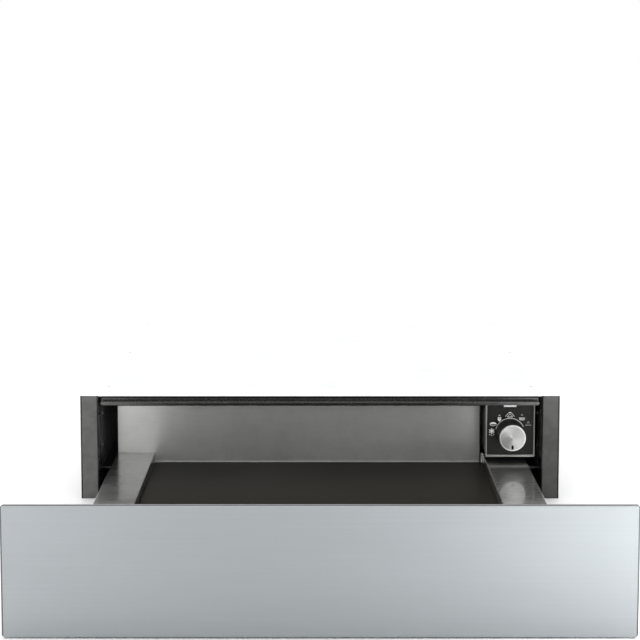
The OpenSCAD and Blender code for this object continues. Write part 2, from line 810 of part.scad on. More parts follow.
module terminal_block() {
    color("beige") fixed() difference() {
        box(dial_x - terminal_w / 2, dial_x + terminal_w / 2, back_in - terminal_d, back_in,
            terminal_z - terminal_h / 2, terminal_z + terminal_h / 2);
        for (i = [-1, 0, 1])
            rod_y(back_in - terminal_d - cut, back_in - terminal_d + terminal_hole,
                dial_x + i * terminal_pitch, terminal_z + terminal_h / 4, terminal_hole_d / 2);
    }
}

module cable_gland() {
    color([0.1, 0.1, 0.1]) fixed() difference() {
        union() {
            translate([gland_x, carcass_d, gland_z]) rotate([-90, 0, 0]) cylinder(h = gland_head, d = gland_d, $fn = 6);
            rod_y(carcass_d + gland_head, carcass_d + gland_head + gland_cap, gland_x, gland_z, gland_cap_d / 2);
            rod_y(back_in - gland_len, carcass_d, gland_x, gland_z, gland_thread_d / 2);
            translate([gland_x, back_in - gland_nut, gland_z]) rotate([-90, 0, 0])
                cylinder(h = gland_nut, d = gland_d, $fn = 6);
        }
        rod_y(back_in - gland_len - cut, carcass_d + gland_head + gland_cap + cut, gland_x, gland_z, inlet_d / 2);
    }
}

module wire_loom() {
    color([0.1, 0.1, 0.1]) fixed()
        rod_y(fascia_back + thermostat_d, back_in - terminal_d, dial_x, terminal_z, loom_d / 2);
}

// The lead's middle line as [y, z, heading] stations: down from the terminal
// block, round to the floor, forwards, up in an S and level into the tray.
lead_sides = 10;
lead_lift = 40;             // steepest slope of the S
lead_entry_y = tray_y1 - opening + lead_straight;
lead_s_r = (lead_entry_z - lead_z) / 2 / (1 - cos(lead_lift));
lead_floor_y = lead_entry_y + 2 * lead_s_r * sin(lead_lift);
lead_route = concat(
    [[lead_rear_y, terminal_z - terminal_h / 2, -90]],
    [for (i = [0 : 6]) let (h = -90 - 15 * i)
        [lead_rear_y - lead_bend - lead_bend * sin(h), lead_z + lead_bend + lead_bend * cos(h), h]],
    [for (i = [0 : 4]) let (h = -180 - lead_lift * i / 4)
        [lead_floor_y - lead_s_r * sin(h), lead_z + lead_s_r + lead_s_r * cos(h), h]],
    [for (i = [3 : -1 : 0]) let (h = -180 - lead_lift * i / 4)
        [lead_entry_y + lead_s_r * sin(h), lead_entry_z - lead_s_r - lead_s_r * cos(h), h]],
    [[tray_y1 - opening - lead_tail, lead_entry_z, -180]]);
lead_points = [for (p = lead_route, k = [0 : lead_sides - 1])
    let (w = 360 * k / lead_sides, c = lead_d / 2 * cos(w), n = lead_d / 2 * sin(w))
    [lead_x + c, p[0] - n * sin(p[2]), p[1] + n * cos(p[2])]];

// A tube's faces from its rings of points.
function tube_faces(rings, sides) = concat(
    [[for (k = [0 : sides - 1]) k]],
    [for (i = [0 : rings - 2], k = [0 : sides - 1], half = [0, 1])
        let (a = sides * i + k, b = sides * i + (k + 1) % sides)
        half == 0 ? [a, a + sides, b + sides] : [a, b + sides, b]],
    [[for (k = [sides - 1 : -1 : 0]) sides * (rings - 1) + k]]);

module heater_lead() {
    color("white") fixed() polyhedron(lead_points, tube_faces(len(lead_route), lead_sides));
}

module lead_connector() {
    color("ivory") moved(1)
        box(lead_x - connector_w / 2, lead_x + connector_w / 2, tray_y1 - lead_tail - connector_d,
            tray_y1 - lead_tail, pan_top, pan_top + connector_h);
}

// ---- push latch ----

module latch_body() {
    color([0.15, 0.15, 0.15]) fixed() difference() {
        union() {
            box(-latch_w / 2, latch_w / 2, latch_y, back_in, latch_z - latch_h / 2, latch_z + latch_h / 2);
            box(-latch_w / 2 - latch_ear_w, latch_w / 2 + latch_ear_w, back_in - latch_ear_t, back_in,
                latch_z - latch_ear_h / 2, latch_z + latch_ear_h / 2);
        }
        rod_y(latch_y - cut, back_in - latch_wall, 0, latch_z, plunger_d / 2 + plunger_slack);
    }
}

module latch_plunger() {
    color("gainsboro") fixed() {
        rod_y(plunger_y, plunger_y + tip_len, 0, latch_z, plunger_d / 2 - tip_step);
        rod_y(plunger_y + tip_len, plunger_end, 0, latch_z, plunger_d / 2);
    }
}

// The spring's wire, swept round its helix with rings of six points.
spring_slack = 0.4;         // gap between the spring and the plunger's bore
spring_end = 0.1;           // gap at each end of the spring
spring_r = plunger_d / 2 - wire_d / 2 - spring_slack;
spring_steps = 16;          // rings in one turn
spring_rings = spring_turns * spring_steps;
wire_sides = 6;
spring_points = [for (i = [0 : spring_rings], k = [0 : wire_sides - 1])
    let (a = 360 * i / spring_steps,
         w = 360 * k / wire_sides,
         r = spring_r + wire_d / 2 * cos(w),
         rise = (spring_len - wire_d - 2 * spring_end) * i / spring_rings)
    [r * cos(a), wire_d / 2 + spring_end + rise + wire_d / 2 * sin(w), r * sin(a)]];

module latch_spring() {
    color("silver") fixed() translate([0, plunger_end, latch_z])
        polyhedron(spring_points, tube_faces(spring_rings + 1, wire_sides));
}

// ---- drawer front ----

module front_skin() {
    color([0.75, 0.76, 0.78]) moved(1) difference() {
        rounded_slab(front_w, front_h, front_lift, front_face, skin_back, front_r);
        rounded_slab(front_w - 2 * skin_t, front_h - 2 * skin_t, front_lift + skin_t,
            front_face + skin_t, skin_back + cut, max(front_r - skin_t, 0.2));
    }
}

module front_backing() {
    inset = backing_inset;
    color([0.2, 0.2, 0.2]) moved(1) difference() {
        union() {
            rounded_slab(front_w - 2 * skin_t, front_h - 2 * skin_t, front_lift + skin_t,
                skin_back - backing_t, skin_back, max(front_r - skin_t, 0.2));
            box(-front_w / 2 + inset, front_w / 2 - inset, skin_back, -front_gap,
                front_lift + inset, front_lift + front_h - inset);
        }
        box(-front_w / 2 + inset + backing_t, front_w / 2 - inset - backing_t,
            skin_back - backing_t - cut, -front_gap - backing_t,
            front_lift + inset + backing_t, front_lift + front_h - inset - backing_t);
        for (x = [-front_screw_x, front_screw_x], z = front_screws_z)
            rod_y(-front_gap - backing_t - cut, -front_gap + cut, x, z, screw_hole);
    }
}

module front_core() {
    inset = backing_inset + backing_t;
    color("tan") moved(1) difference() {
        box(-front_w / 2 + inset, front_w / 2 - inset, front_face + skin_t, -front_gap - backing_t,
            front_lift + inset, front_lift + front_h - inset);
        for (x = [-front_screw_x, front_screw_x], z = front_screws_z)
            rod_y(-front_gap - backing_t - 2 * core_bite, -front_gap, x, z, screw_hole);
    }
}

module front_bracket() {
    t = bracket_t;
    color("silver") difference() {
        union() {
            box(tray_half - tray_t - t, tray_half - tray_t, tray_y0 + tray_t, tray_y0 + tray_t + bracket_len,
                pan_top + tab_gap, ledge_z - tray_t);
            box(tray_half - bracket_foot, tray_half - tray_t - t, tray_y0 + tray_t, tray_y0 + tray_t + t,
                pan_top + tab_gap, ledge_z - tray_t);
        }
        for (z = front_screws_z)
            rod_y(tray_y0, tray_y0 + tray_t + t + cut, front_screw_x, z, screw_hole);
    }
}

module front_right_bracket() { moved(1) front_bracket(); }

module front_left_bracket() { moved(1) left() front_bracket(); }

module front_buffers() {
    color([0.1, 0.1, 0.1]) moved(1) for (x = [-buffer_x, buffer_x], z = buffers_z)
        rod_y(-front_gap, -buffer_slack, x, z, buffer_d / 2);
}

module drawer_screws() {
    color("silver") moved(1) {
        for (x = [-front_screw_x, front_screw_x], z = front_screws_z)
            translate([x, tray_y0 + tray_t + bracket_t, z]) rotate([-90, 0, 0])
                pan_screw(tray_t + bracket_t + backing_t + core_bite);
        for (x = wall_screws_x)
            translate([x, tray_y1 + tray_t, wall_screw_z]) rotate([-90, 0, 0]) pan_screw(screw_len);
    }
}

// ---- tray ----

module drawer_tray() {
    t = tray_t;
    color([0.5, 0.5, 0.49]) moved(1) difference() {
        union() {
            box(-tray_half, tray_half, tray_y0, tray_y1, skirt_z, ledge_z);
            box(-ledge_half, ledge_half, tray_y0, tray_y1, ledge_z - t, ledge_z);
            for (x = [-ledge_half, ledge_half - t])
                box(x, x + t, tray_y0, tray_y1, ledge_z - ledge_fold, ledge_z);
        }
        // the hollow under the ledges, outside the recess walls
        difference() {
            box(-tray_half + t, tray_half - t, tray_y0 + t, tray_y1 - t, skirt_z - cut, ledge_z - t);
            box(recess_x0 - t, recess_x1 + t, recess_y0 - t, tray_y1, lip_top - t, ledge_z);
        }
        // the recess down to the lip, and the window inside the lip
        box(recess_x0, recess_x1, recess_y0, tray_y1 - t, lip_top, ledge_z + cut);
        box(recess_x0 + lip_w, recess_x1 - lip_w, recess_y0 + lip_w, tray_y1 - t - lip_w, skirt_z, ledge_z);
        // the opening that the back wall closes
        box(recess_x0, wall_x1, tray_y1 - t - cut, tray_y1 + cut, lip_top, ledge_z + cut);
        for (x = [-front_screw_x, front_screw_x], z = front_screws_z)
            rod_y(tray_y0 - cut, tray_y0 + t + cut, x, z, screw_hole);
        for (x = wall_screws_x)
            rod_y(tray_y1 - t - cut, tray_y1 + cut, x, wall_screw_z, screw_hole);
        for (y = slide_screws_y, x = [-tray_half, tray_half - t])
            rod_x(x - cut, x + t + cut, y, slide_z, screw_hole);
        rod_y(tray_y1 - t - cut, tray_y1 + cut, lead_x, lead_entry_z, lead_d / 2 + lead_hole_gap);
    }
}

module drawer_back_wall() {
    t = tray_t;
    color([0.55, 0.55, 0.54]) moved(1) difference() {
        union() {
            box(-tray_half, wall_x1, tray_y1, tray_y1 + t, skirt_z, wall_top);
            box(-ledge_half, wall_x1, tray_y1, tray_y1 + t, ledge_z, wall_top);
            box(-ledge_half, wall_x1, tray_y1 + t, tray_y1 + t + wall_fold, wall_top - t, wall_top);
            for (x = [-ledge_half, wall_x1 - t])
                box(x, x + t, tray_y1 + t, tray_y1 + t + wall_fold, ledge_z + 2 * t, wall_top - t);
        }
        for (x = wall_screws_x)
            rod_y(tray_y1 - cut, tray_y1 + t + cut, x, wall_screw_z, screw_hole);
    }
}

module glass_base() {
    color([0.17, 0.16, 0.15]) moved(1)
        box(recess_x0 + glass_gap, recess_x1 - glass_gap, recess_y0 + glass_gap, tray_y1 - tray_t - glass_gap,
            lip_top, base_z);
}

module glass_retainer() {
    color("silver") moved(1)
        box(recess_x0 + glass_gap, wall_x1 - glass_gap, tray_y1 - retainer_d, tray_y1, base_z, base_z + retainer_h);
}

module tray_underpan() {
    x1 = tray_half - tray_t - bracket_t - pan_gap;
    y1 = tray_y1 - tray_t - pan_gap;
    color("gray") moved(1) {
        box(-x1, x1, tray_y0 + tray_t + bracket_t + head_h + pan_gap, y1, skirt_z, pan_top);
        for (x = [-x1, x1 - pan_t])
            box(x, x + pan_t, tray_y0 + tray_t + bracket_len + 2 * pan_gap, y1, pan_top, pan_top + pan_rim);
    }
}

// ---- heating ----

plate_x0 = recess_x0 + lip_w + plate_gap;
plate_x1 = recess_x1 - lip_w - plate_gap;
plate_y0 = recess_y0 + lip_w + plate_gap;
plate_y1 = tray_y1 - tray_t - lip_w - plate_gap;
plate_z = lip_top - plate_t;
cord_z = plate_z - cord_d / 2;
cord_runs = floor((plate_y1 - plate_y0 - 2 * cord_margin) / cord_pitch) + 1;
cord_y0 = (plate_y0 + plate_y1 - (cord_runs - 1) * cord_pitch) / 2;
cord_x0 = plate_x0 + cord_margin + cord_pitch / 2;
cord_x1 = plate_x1 - cord_margin - cord_pitch / 2;
cutout_x = (plate_x0 + plate_x1) / 2;
cutout_y = cord_y0 + (floor(cord_runs / 2) + 0.5) * cord_pitch;

module heater_plate() {
    color("silver") moved(1) box(plate_x0, plate_x1, plate_y0, plate_y1, plate_z, lip_top);
}

module heater_cord() {
    color("orangered") moved(1) {
        for (i = [0 : cord_runs - 1])
            rod_x(cord_x0, cord_x1, cord_y0 + i * cord_pitch, cord_z, cord_d / 2);
        for (i = [0 : cord_runs - 2]) {
            right = i % 2 == 0;
            translate([right ? cord_x1 : cord_x0, cord_y0 + (i + 0.5) * cord_pitch, cord_z])
                rotate([0, 0, right ? -90 : 90])
                rotate_extrude(angle = 180) translate([cord_pitch / 2, 0]) circle(d = cord_d);
        }
    }
}

module insulation_pad() {
    color("khaki") moved(1) difference() {
        box(recess_x0, recess_x1, recess_y0, plate_y1, pan_top, pan_top + wool_t);
        rod_z(pan_top - cut, pan_top + wool_t + cut, cutout_x, cutout_y, cutout_d / 2 + cutout_room);
    }
}

module thermal_cutout() {
    color("white") moved(1) rod_z(plate_z - cutout_h, plate_z, cutout_x, cutout_y, cutout_d / 2);
}

housing_floor();
housing_left_side();
housing_right_side();
housing_back();
housing_roof();
housing_screws();
left_post();
right_post();
post_screws();
top_rail();
bottom_rail();
slide_left_spacer();
slide_right_spacer();
slide_left_outer();
slide_right_outer();
slide_left_middle();
slide_right_middle();
slide_left_inner();
slide_right_inner();
slide_left_outer_cage();
slide_right_outer_cage();
slide_left_inner_cage();
slide_right_inner_cage();
slide_housing_screws();
slide_drawer_screws();
control_box();
control_fascia();
control_bezel();
pilot_lens();
pilot_lamp();
dial_body();
dial_face();
dial_spindle();
thermostat();
terminal_block();
cable_gland();
wire_loom();
heater_lead();
lead_connector();
latch_body();
latch_plunger();
latch_spring();
front_skin();
front_core();
front_backing();
front_left_bracket();
front_right_bracket();
front_buffers();
drawer_screws();
drawer_tray();
drawer_back_wall();
glass_base();
glass_retainer();
heater_plate();
heater_cord();
insulation_pad();
tray_underpan();
thermal_cutout();
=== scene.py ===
"""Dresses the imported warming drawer: sheet-metal pieces, finishes, scale marks, lights and camera.

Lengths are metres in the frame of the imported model: X across, Y from front to back, Z up.
"""

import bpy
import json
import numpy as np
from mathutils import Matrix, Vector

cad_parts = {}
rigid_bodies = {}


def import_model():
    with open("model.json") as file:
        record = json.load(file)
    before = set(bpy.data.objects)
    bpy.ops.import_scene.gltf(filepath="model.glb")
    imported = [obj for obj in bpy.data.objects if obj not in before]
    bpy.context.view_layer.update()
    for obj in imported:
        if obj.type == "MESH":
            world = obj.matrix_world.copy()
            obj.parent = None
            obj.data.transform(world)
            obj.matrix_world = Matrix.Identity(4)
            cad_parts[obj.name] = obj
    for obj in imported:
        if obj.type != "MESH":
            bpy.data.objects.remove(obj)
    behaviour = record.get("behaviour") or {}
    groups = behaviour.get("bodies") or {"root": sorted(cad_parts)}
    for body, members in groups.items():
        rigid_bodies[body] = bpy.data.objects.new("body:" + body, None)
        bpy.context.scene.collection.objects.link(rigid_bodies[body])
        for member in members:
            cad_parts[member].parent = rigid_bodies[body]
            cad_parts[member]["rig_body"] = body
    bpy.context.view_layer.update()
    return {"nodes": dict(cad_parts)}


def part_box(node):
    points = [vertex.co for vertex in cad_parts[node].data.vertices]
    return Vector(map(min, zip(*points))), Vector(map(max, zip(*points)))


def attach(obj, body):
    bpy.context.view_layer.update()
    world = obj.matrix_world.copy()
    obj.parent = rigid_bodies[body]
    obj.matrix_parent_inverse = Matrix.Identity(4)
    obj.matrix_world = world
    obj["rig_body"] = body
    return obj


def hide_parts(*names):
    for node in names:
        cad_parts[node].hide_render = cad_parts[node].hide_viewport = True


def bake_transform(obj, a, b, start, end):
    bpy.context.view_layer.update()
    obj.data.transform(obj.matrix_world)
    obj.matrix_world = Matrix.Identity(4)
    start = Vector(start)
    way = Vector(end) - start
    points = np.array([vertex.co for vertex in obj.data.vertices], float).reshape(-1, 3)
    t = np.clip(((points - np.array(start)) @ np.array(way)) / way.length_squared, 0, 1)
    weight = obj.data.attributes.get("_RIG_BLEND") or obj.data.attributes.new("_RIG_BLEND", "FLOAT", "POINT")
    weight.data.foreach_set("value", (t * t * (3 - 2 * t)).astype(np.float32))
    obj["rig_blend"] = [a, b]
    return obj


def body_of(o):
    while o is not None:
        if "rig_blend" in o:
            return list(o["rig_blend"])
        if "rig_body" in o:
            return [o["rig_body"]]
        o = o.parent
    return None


bl_info = {
    "name": "Warming Drawer Looks",
    "version": (1, 0, 0),
    "blender": (4, 5, 0),
    "location": "3D View > Sidebar > Warming Drawer",
    "description": "Builds the visible pieces and finishes of a built-in warming drawer",
    "category": "Object",
}

import json
import math

import bmesh
import bpy
from bpy.props import FloatProperty, FloatVectorProperty, PointerProperty
from mathutils import Matrix, Vector, noise

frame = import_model()
MM = 0.001
WELD = 2e-6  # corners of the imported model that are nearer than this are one
LEVEL = 1e-5  # places that differ by less than this are level
BLACK = (0.0, 0.0, 0.0, 1.0)
WHITE = (1.0, 1.0, 1.0, 1.0)

# the front frame's posts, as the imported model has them
POST_SHEET = 0.0012
POST_SIDE = 0.008
POST_LIP = 0.0045
POST_FOLD_FOOT, POST_FOLD_TOP = 0.0026, 0.123
STRIP_EDGE = 0.0003  # round on the bright strip along the base
# the heater lead's route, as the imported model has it
LEAD_BEND = 0.014
LEAD_DROP = 0.008
LEAD_LIFT = math.radians(40)
LEAD_ABOVE_PAN, LEAD_BEHIND_TRAY = 0.007, 0.004
# screws that lie along Y and are behind this place hold the back panel
REAR_SCREWS = 0.24


# ---- sizes and colours ----


def length(name, text, value):
    """A length property in metres."""
    return FloatProperty(
        name=name, description=text, default=value, min=0.0, max=0.1, precision=5, unit="LENGTH"
    )


def number(name, text, value, **more):
    """A number property; more holds its limits and its unit."""
    return FloatProperty(name=name, description=text, default=value, **more)


def colour(name, text, value):
    """A colour property."""
    return FloatVectorProperty(
        name=name, description=text, default=value, size=3, min=0.0, max=1.0, subtype="COLOR"
    )


class DrawerSheetSizes(bpy.types.PropertyGroup):
    """Sizes of the folded sheet-metal pieces."""

    post_bend: length("Post bend", "Inside radius of the bends in the posts' sheet", 0.0007)
    # the dark edge is painted shade along the front frame's outer edges
    dark_edge: length("Dark edge", "Width of the dark edge of the front frame", 0.002)
    frame_edge: length("Frame edge", "Round on the cut edges of the front frame", 0.0002)
    flange_trim: number(
        "Flange trim", "How steeply the posts' flanges fall away behind the face", 0.3, min=0.0, max=1.0
    )
    sheet_edge: length("Sheet edge", "Round on the cut edges of the other sheets", 0.0002)
    front_edge: length("Front edge", "Radius round the edge of the steel front", 0.0012)
    front_corner: length("Front corner", "Radius of the front's corners", 0.0035)
    # the darker rim is painted shade along the front's folded edges
    front_rim: length("Front rim", "Width of the darker rim round the steel front", 0.0016)
    front_sheet: length("Front sheet", "Thickness of the steel front's sheet", 0.0008)
    tray_bend: length("Tray bend", "Outside radius of the tray's folded edges", 0.0012)
    back_sheet: length("Back sheet", "Thickness of the back wall's sheet", 0.001)
    wall_bend: length("Wall bend", "Outside radius of the back wall's folds", 0.00095)
    glass_edge: length("Glass edge", "Ground edge round the glass base", 0.0007)


class DrawerControlSizes(bpy.types.PropertyGroup):
    """Sizes of the control unit's dial, bezel and printed scale."""

    bezel_round: length("Bezel round", "Round on the bezel's edges", 0.0006)
    rim: length("Dial rim", "Width of the raised rim of the dial's face", 0.0012)
    dish: length("Dial dish", "Depth of the dial's face inside its rim", 0.00018)
    slot_width: length("Pointer width", "Width of the pointer slot", 0.0027)
    slot_length: length("Pointer length", "Length of the pointer slot", 0.0056)
    slot_edge: length("Pointer distance", "Distance from the slot to the dial's edge", 0.0018)
    arc_radius: length("Scale radius", "Radius of the printed scale's arc", 0.0183)
    arc_thin: length("Scale start", "Width of the arc where it starts", 0.0004)
    arc_thick: length("Scale end", "Width of the arc where it ends", 0.0008)
    symbol_lift: length("Symbol lift", "How far the symbols stand above the arc's centre line", 0.0007)
    print_height: length("Print height", "How far the print stands on the fascia", 0.00004)


class DrawerSmallParts(bpy.types.PropertyGroup):
    """Sizes of fasteners, leads, wool and rubber pieces."""

    shank: length("Shank", "Diameter of the screws' threads", 0.0039)
    pan_head: length("Pan head", "Height of a pan head", 0.0018)
    sunk_head: length("Sunk head", "Depth of a sunk head", 0.0009)
    low_head: length("Low head", "Height of the low heads inside the slides", 0.0014)
    recess_width: length("Recess width", "Width of the arms of a screw's cross recess", 0.0009)
    loom_pitch: length("Loom pitch", "Distance between the ribs of the wire loom", 0.0045)
    loom_rib: length("Loom rib", "Thickness of a rib of the wire loom", 0.0018)
    cord_pitch: length("Cord pitch", "Distance between the runs of the heating cord", 0.044)
    wool_relief: length("Wool relief", "Unevenness of the insulation's surface", 0.0005)
    buffer_round: length("Buffer round", "Round on the rubber buffers", 0.0006)


class DrawerColours(bpy.types.PropertyGroup):
    """Colours of the main finishes."""

    front: colour("Front", "Satin steel of the drawer front", (0.342, 0.364, 0.377))
    tray: colour("Tray", "Brushed steel of the tray", (0.46, 0.46, 0.452))
    wall: colour("Back wall", "Brushed steel of the drawer's back wall", (0.64, 0.64, 0.635))
    carcass: colour("Carcass", "Galvanised sheet of the carcass", (0.71, 0.72, 0.73))
    paint: colour("Frame paint", "Metallic paint of the posts and rails", (0.1, 0.1, 0.098))
    glass: colour("Base", "Dark base of the tray", (0.018, 0.0166, 0.0134))
    fascia: colour("Fascia", "Black fascia behind the dial", (0.0135, 0.0135, 0.0125))
    bezel: colour("Bezel", "Metal of the bezel", (0.36, 0.36, 0.34))
    dial: colour("Dial", "Spun metal of the dial's face", (0.82, 0.82, 0.81))
    print_grey: colour("Print", "Symbols and arc of the scale", (0.95, 0.95, 0.93))


class DrawerStage(bpy.types.PropertyGroup):
    """Floor, lights and camera."""

    floor_size: number("Floor size", "Side of the square floor", 60.0, min=5.0, unit="LENGTH")
    floor_colour: colour("Floor", "Colour of the floor", (0.93, 0.93, 0.93))
    sky_low: number("Low light", "Brightness of the surroundings near the horizon", 1.75, min=0.0)
    sky_middle: number("Middle light", "Brightness of the surroundings half way up", 0.9, min=0.0)
    sky_high: number("Overhead light", "Brightness of the surroundings overhead", 2.0, min=0.0)
    sides: number("Dark sides", "Brightness of the surroundings at the left and right", 0.3, min=0.0)
    key_power: number("Key light", "Power of the large light at the right", 11.0, min=0.0, unit="POWER")
    fill_power: number("Fill light", "Power of the smaller light at the left", 1.4, min=0.0, unit="POWER")
    camera_place: FloatVectorProperty(
        name="Camera place",
        description="Where the camera stands",
        default=(0.0, -2.0425, 0.5552),
        size=3,
        unit="LENGTH",
        subtype="TRANSLATION",
    )
    camera_tilt: number(
        "Camera tilt", "How far the camera looks down", math.radians(5.173), unit="ROTATION"
    )
    lens: number("Lens", "Focal length in millimetres", 83.71, min=10.0)
    shift: number("Vertical shift", "Upward shift of the lens as a share of the picture", -0.22)


def chosen(group):
    """The scene's values of one property group, by its key in GROUPS."""
    return getattr(bpy.context.scene, group)


# ---- mesh helpers ----


def link(name, data):
    """A new object in the scene."""
    made = bpy.data.objects.new(name, data)
    bpy.context.scene.collection.objects.link(made)
    return made


def place(name, mesh, look, body, stands_for=()):
    """Links a finished mesh as a piece: its look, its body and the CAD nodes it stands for."""
    piece = link(name, mesh)
    mesh.materials.clear()
    mesh.materials.append(bpy.data.materials[look])
    if body:
        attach(piece, body)
    if stands_for:
        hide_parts(*stands_for)
    return piece


def stand_in(node, mesh, look=None):
    """A piece that stands for one CAD node, on its body and in its finish or in another look."""
    source = frame["nodes"][node]
    finish = source.data.materials[0].name
    place(node + "_piece", mesh, look or finish, body_of(source)[0], [node])


def middle(node):
    """A CAD node's lowest and highest corner, and the X and Z of its middle."""
    low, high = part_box(node)
    return low, high, (low.x + high.x) / 2, (low.z + high.z) / 2


def smooth(mesh, angle):
    """Smooth shading with sharp edges past the angle in degrees."""
    mesh.shade_smooth()
    mesh.set_sharp_from_angle(angle=math.radians(angle))
    return mesh


def finished(bm, name):
    """A mesh with what was built in bm."""
    mesh = bpy.data.meshes.new(name)
    bm.to_mesh(mesh)
    bm.free()
    return mesh


def solid(name, points, faces, merged=True):
    """A closed mesh with outward faces, its double points merged unless they are apart on purpose."""
    mesh = bpy.data.meshes.new(name)
    mesh.from_pydata(points, [], faces)
    bm = bmesh.new()
    bm.from_mesh(mesh)
    if merged:
        bmesh.ops.remove_doubles(bm, verts=bm.verts, dist=1e-7)
    bmesh.ops.recalc_face_normals(bm, faces=bm.faces)
    bm.to_mesh(mesh)
    bm.free()
    return mesh


def baked(mesh, *steps):
    """The mesh after modifiers. Each step is (kind, {setting or input's identifier: value})."""
    holder = link("holder", mesh)
    for kind, settings in steps:
        modifier = holder.modifiers.new(kind, kind)
        for key, value in settings.items():
            if hasattr(modifier, key):
                setattr(modifier, key, value)
            else:
                modifier[key] = value
    bpy.context.view_layer.update()
    graph = bpy.context.evaluated_depsgraph_get()
    result = bpy.data.meshes.new_from_object(holder.evaluated_get(graph))
    bpy.data.objects.remove(holder)
    return result


def rounded(mesh, width):
    """The mesh with its sharp edges rounded and even shading on its flat faces."""
    mesh.shade_smooth()
    bevel = {"width": width, "segments": 2, "limit_method": "ANGLE"}
    bevel.update(angle_limit=math.radians(40), miter_outer="MITER_ARC")
    evened = {"mode": "FACE_AREA", "weight": 100, "keep_sharp": False}
    return baked(mesh, ("BEVEL", bevel), ("WEIGHTED_NORMAL", evened))


def carved(mesh, tool, **more):
    """The mesh with the shape of a tool cut out of it."""
    cutter = link("cutter", tool)
    cut = {"object": cutter, "operation": "DIFFERENCE", "solver": "EXACT", **more}
    result = baked(mesh, ("BOOLEAN", cut))
    bpy.data.objects.remove(cutter)
    return result


def welded(node):
    """A CAD node's loose triangles, joined up."""
    bm = bmesh.new()
    bm.from_mesh(frame["nodes"][node].data)
    bmesh.ops.remove_doubles(bm, verts=bm.verts, dist=WELD)
    return bm


def merged_copy(node, split=False):
    """A joined-up copy of a CAD node with its flat faces dissolved.
    split cuts the many-sided faces up again, for sheets with many holes."""
    bm = welded(node)
    bmesh.ops.dissolve_limit(bm, angle_limit=math.radians(0.5), verts=bm.verts, edges=bm.edges)
    if split:
        many = [f for f in bm.faces if len(f.verts) > 4]
        bmesh.ops.triangulate(bm, faces=many, ngon_method="BEAUTY")
    bmesh.ops.recalc_face_normals(bm, faces=bm.faces)
    return bm


def softened(node, width, look=None, split=False):
    """A piece that stands for a CAD node, with small rounds on its edges."""
    mesh = finished(merged_copy(node, split), node + "_piece")
    stand_in(node, rounded(mesh, width), look)


def round_folds(bm, edges, width):
    """Rounds a sheet's folds."""
    bmesh.ops.bevel(
        bm, geom=edges, offset=width, segments=4, profile=0.5, affect="EDGES", clamp_overlap=True
    )


def bent_outline(path, radius, steps=5):
    """Stations (point, normal) along a folded sheet's middle line, with an arc at each bend."""
    stations = []
    for i, p in enumerate(path):
        p = Vector(p)
        before = (p - Vector(path[i - 1])).normalized() if i else None
        after = (Vector(path[i + 1]) - p).normalized() if i < len(path) - 1 else None
        if before is None or after is None:
            d = after or before
            stations.append((p, Vector((-d.y, d.x))))
            continue
        turn = before.x * after.y - before.y * after.x
        angle = math.atan2(turn, before.dot(after))
        side = 1 if angle > 0 else -1
        across = Vector((-before.y, before.x))
        centre = p - before * (radius * math.tan(abs(angle) / 2)) + across * radius * side
        for k in range(steps + 1):
            n = Matrix.Rotation(angle * k / steps, 2) @ across
            stations.append((centre - n * radius * side, n))
    return stations


def post_sheet(name, path, foot, top):
    """An upright folded sheet of the posts' thickness: its section runs along path."""
    section = []
    for p, n in bent_outline(path, chosen("drawer_sheets").post_bend + POST_SHEET / 2):
        section += [p + n * POST_SHEET / 2, p - n * POST_SHEET / 2]
    points = [(q.x, q.y, z) for z in (foot, top) for q in section]
    count = len(section)
    faces = []
    for a in range(0, count - 2, 2):
        b = a + 2
        faces += [
            (a, b, b + count, a + count),
            (a + 1, b + 1, b + 1 + count, a + 1 + count),
            (a, b, b + 1, a + 1),
            (a + count, b + count, b + 1 + count, a + 1 + count),
        ]
    last = count - 2
    faces += [(0, 1, 1 + count, count), (last, last + 1, last + 1 + count, last + count)]
    return solid(name, points, faces)


def ring_faces(rings, count):
    """The sides and the two caps of a skin through rings of count points each."""
    faces = []
    last = (rings - 1) * count
    for start in range(0, last, count):
        for k in range(count):
            j = (k + 1) % count
            faces.append((start + k, start + j, start + count + j, start + count + k))
    return faces + [tuple(range(count)), tuple(range(last, last + count))]


def prism(outline, y0, y1):
    """Points and faces of a flat outline in X and Z, from y0 to y1."""
    return [(x, y, z) for y in (y0, y1) for x, z in outline], ring_faces(2, len(outline))


def turned_body(name, profile, at, segments):
    """A closed body of revolution. The profile is pairs of a radius and a place along the axis;
    at(u, v, along) is the point at u and v across the axis."""
    points, faces, rings = [], [], []
    for r, along in profile:
        count = 1 if r < 1e-7 else segments
        rings.append([len(points) + k for k in range(count)])
        for k in range(count):
            a = 2 * math.pi * k / segments
            points.append(at(r * math.cos(a), r * math.sin(a), along))
    for first, second in zip(rings, rings[1:]):
        for k in range(segments):
            j = (k + 1) % segments
            corners = [first[i % len(first)] for i in (k, j)]
            corners += [second[i % len(second)] for i in (j, k)]
            faces.append(tuple(dict.fromkeys(corners)))
    return solid(name, points, faces)


def lathe(name, profile, x, z, segments):
    """A closed body turned about an axis along Y through x, z."""
    return turned_body(name, profile, lambda u, v, y: (x + u, y, z + v), segments)


def tube(name, route, radius, sides):
    """A closed round tube along a route of points."""
    route = [Vector(p) for p in route]
    points = []
    up = Vector((0, 0, 1)) if abs((route[1] - route[0]).normalized().z) < 0.9 else Vector((1, 0, 0))
    for i, p in enumerate(route):
        d = (route[min(i + 1, len(route) - 1)] - route[max(i - 1, 0)]).normalized()
        side = up.cross(d).normalized()
        up = d.cross(side).normalized()
        for k in range(sides):
            a = 2 * math.pi * k / sides
            points.append(p + (side * math.cos(a) + up * math.sin(a)) * radius)
    return solid(name, points, ring_faces(len(route), sides))


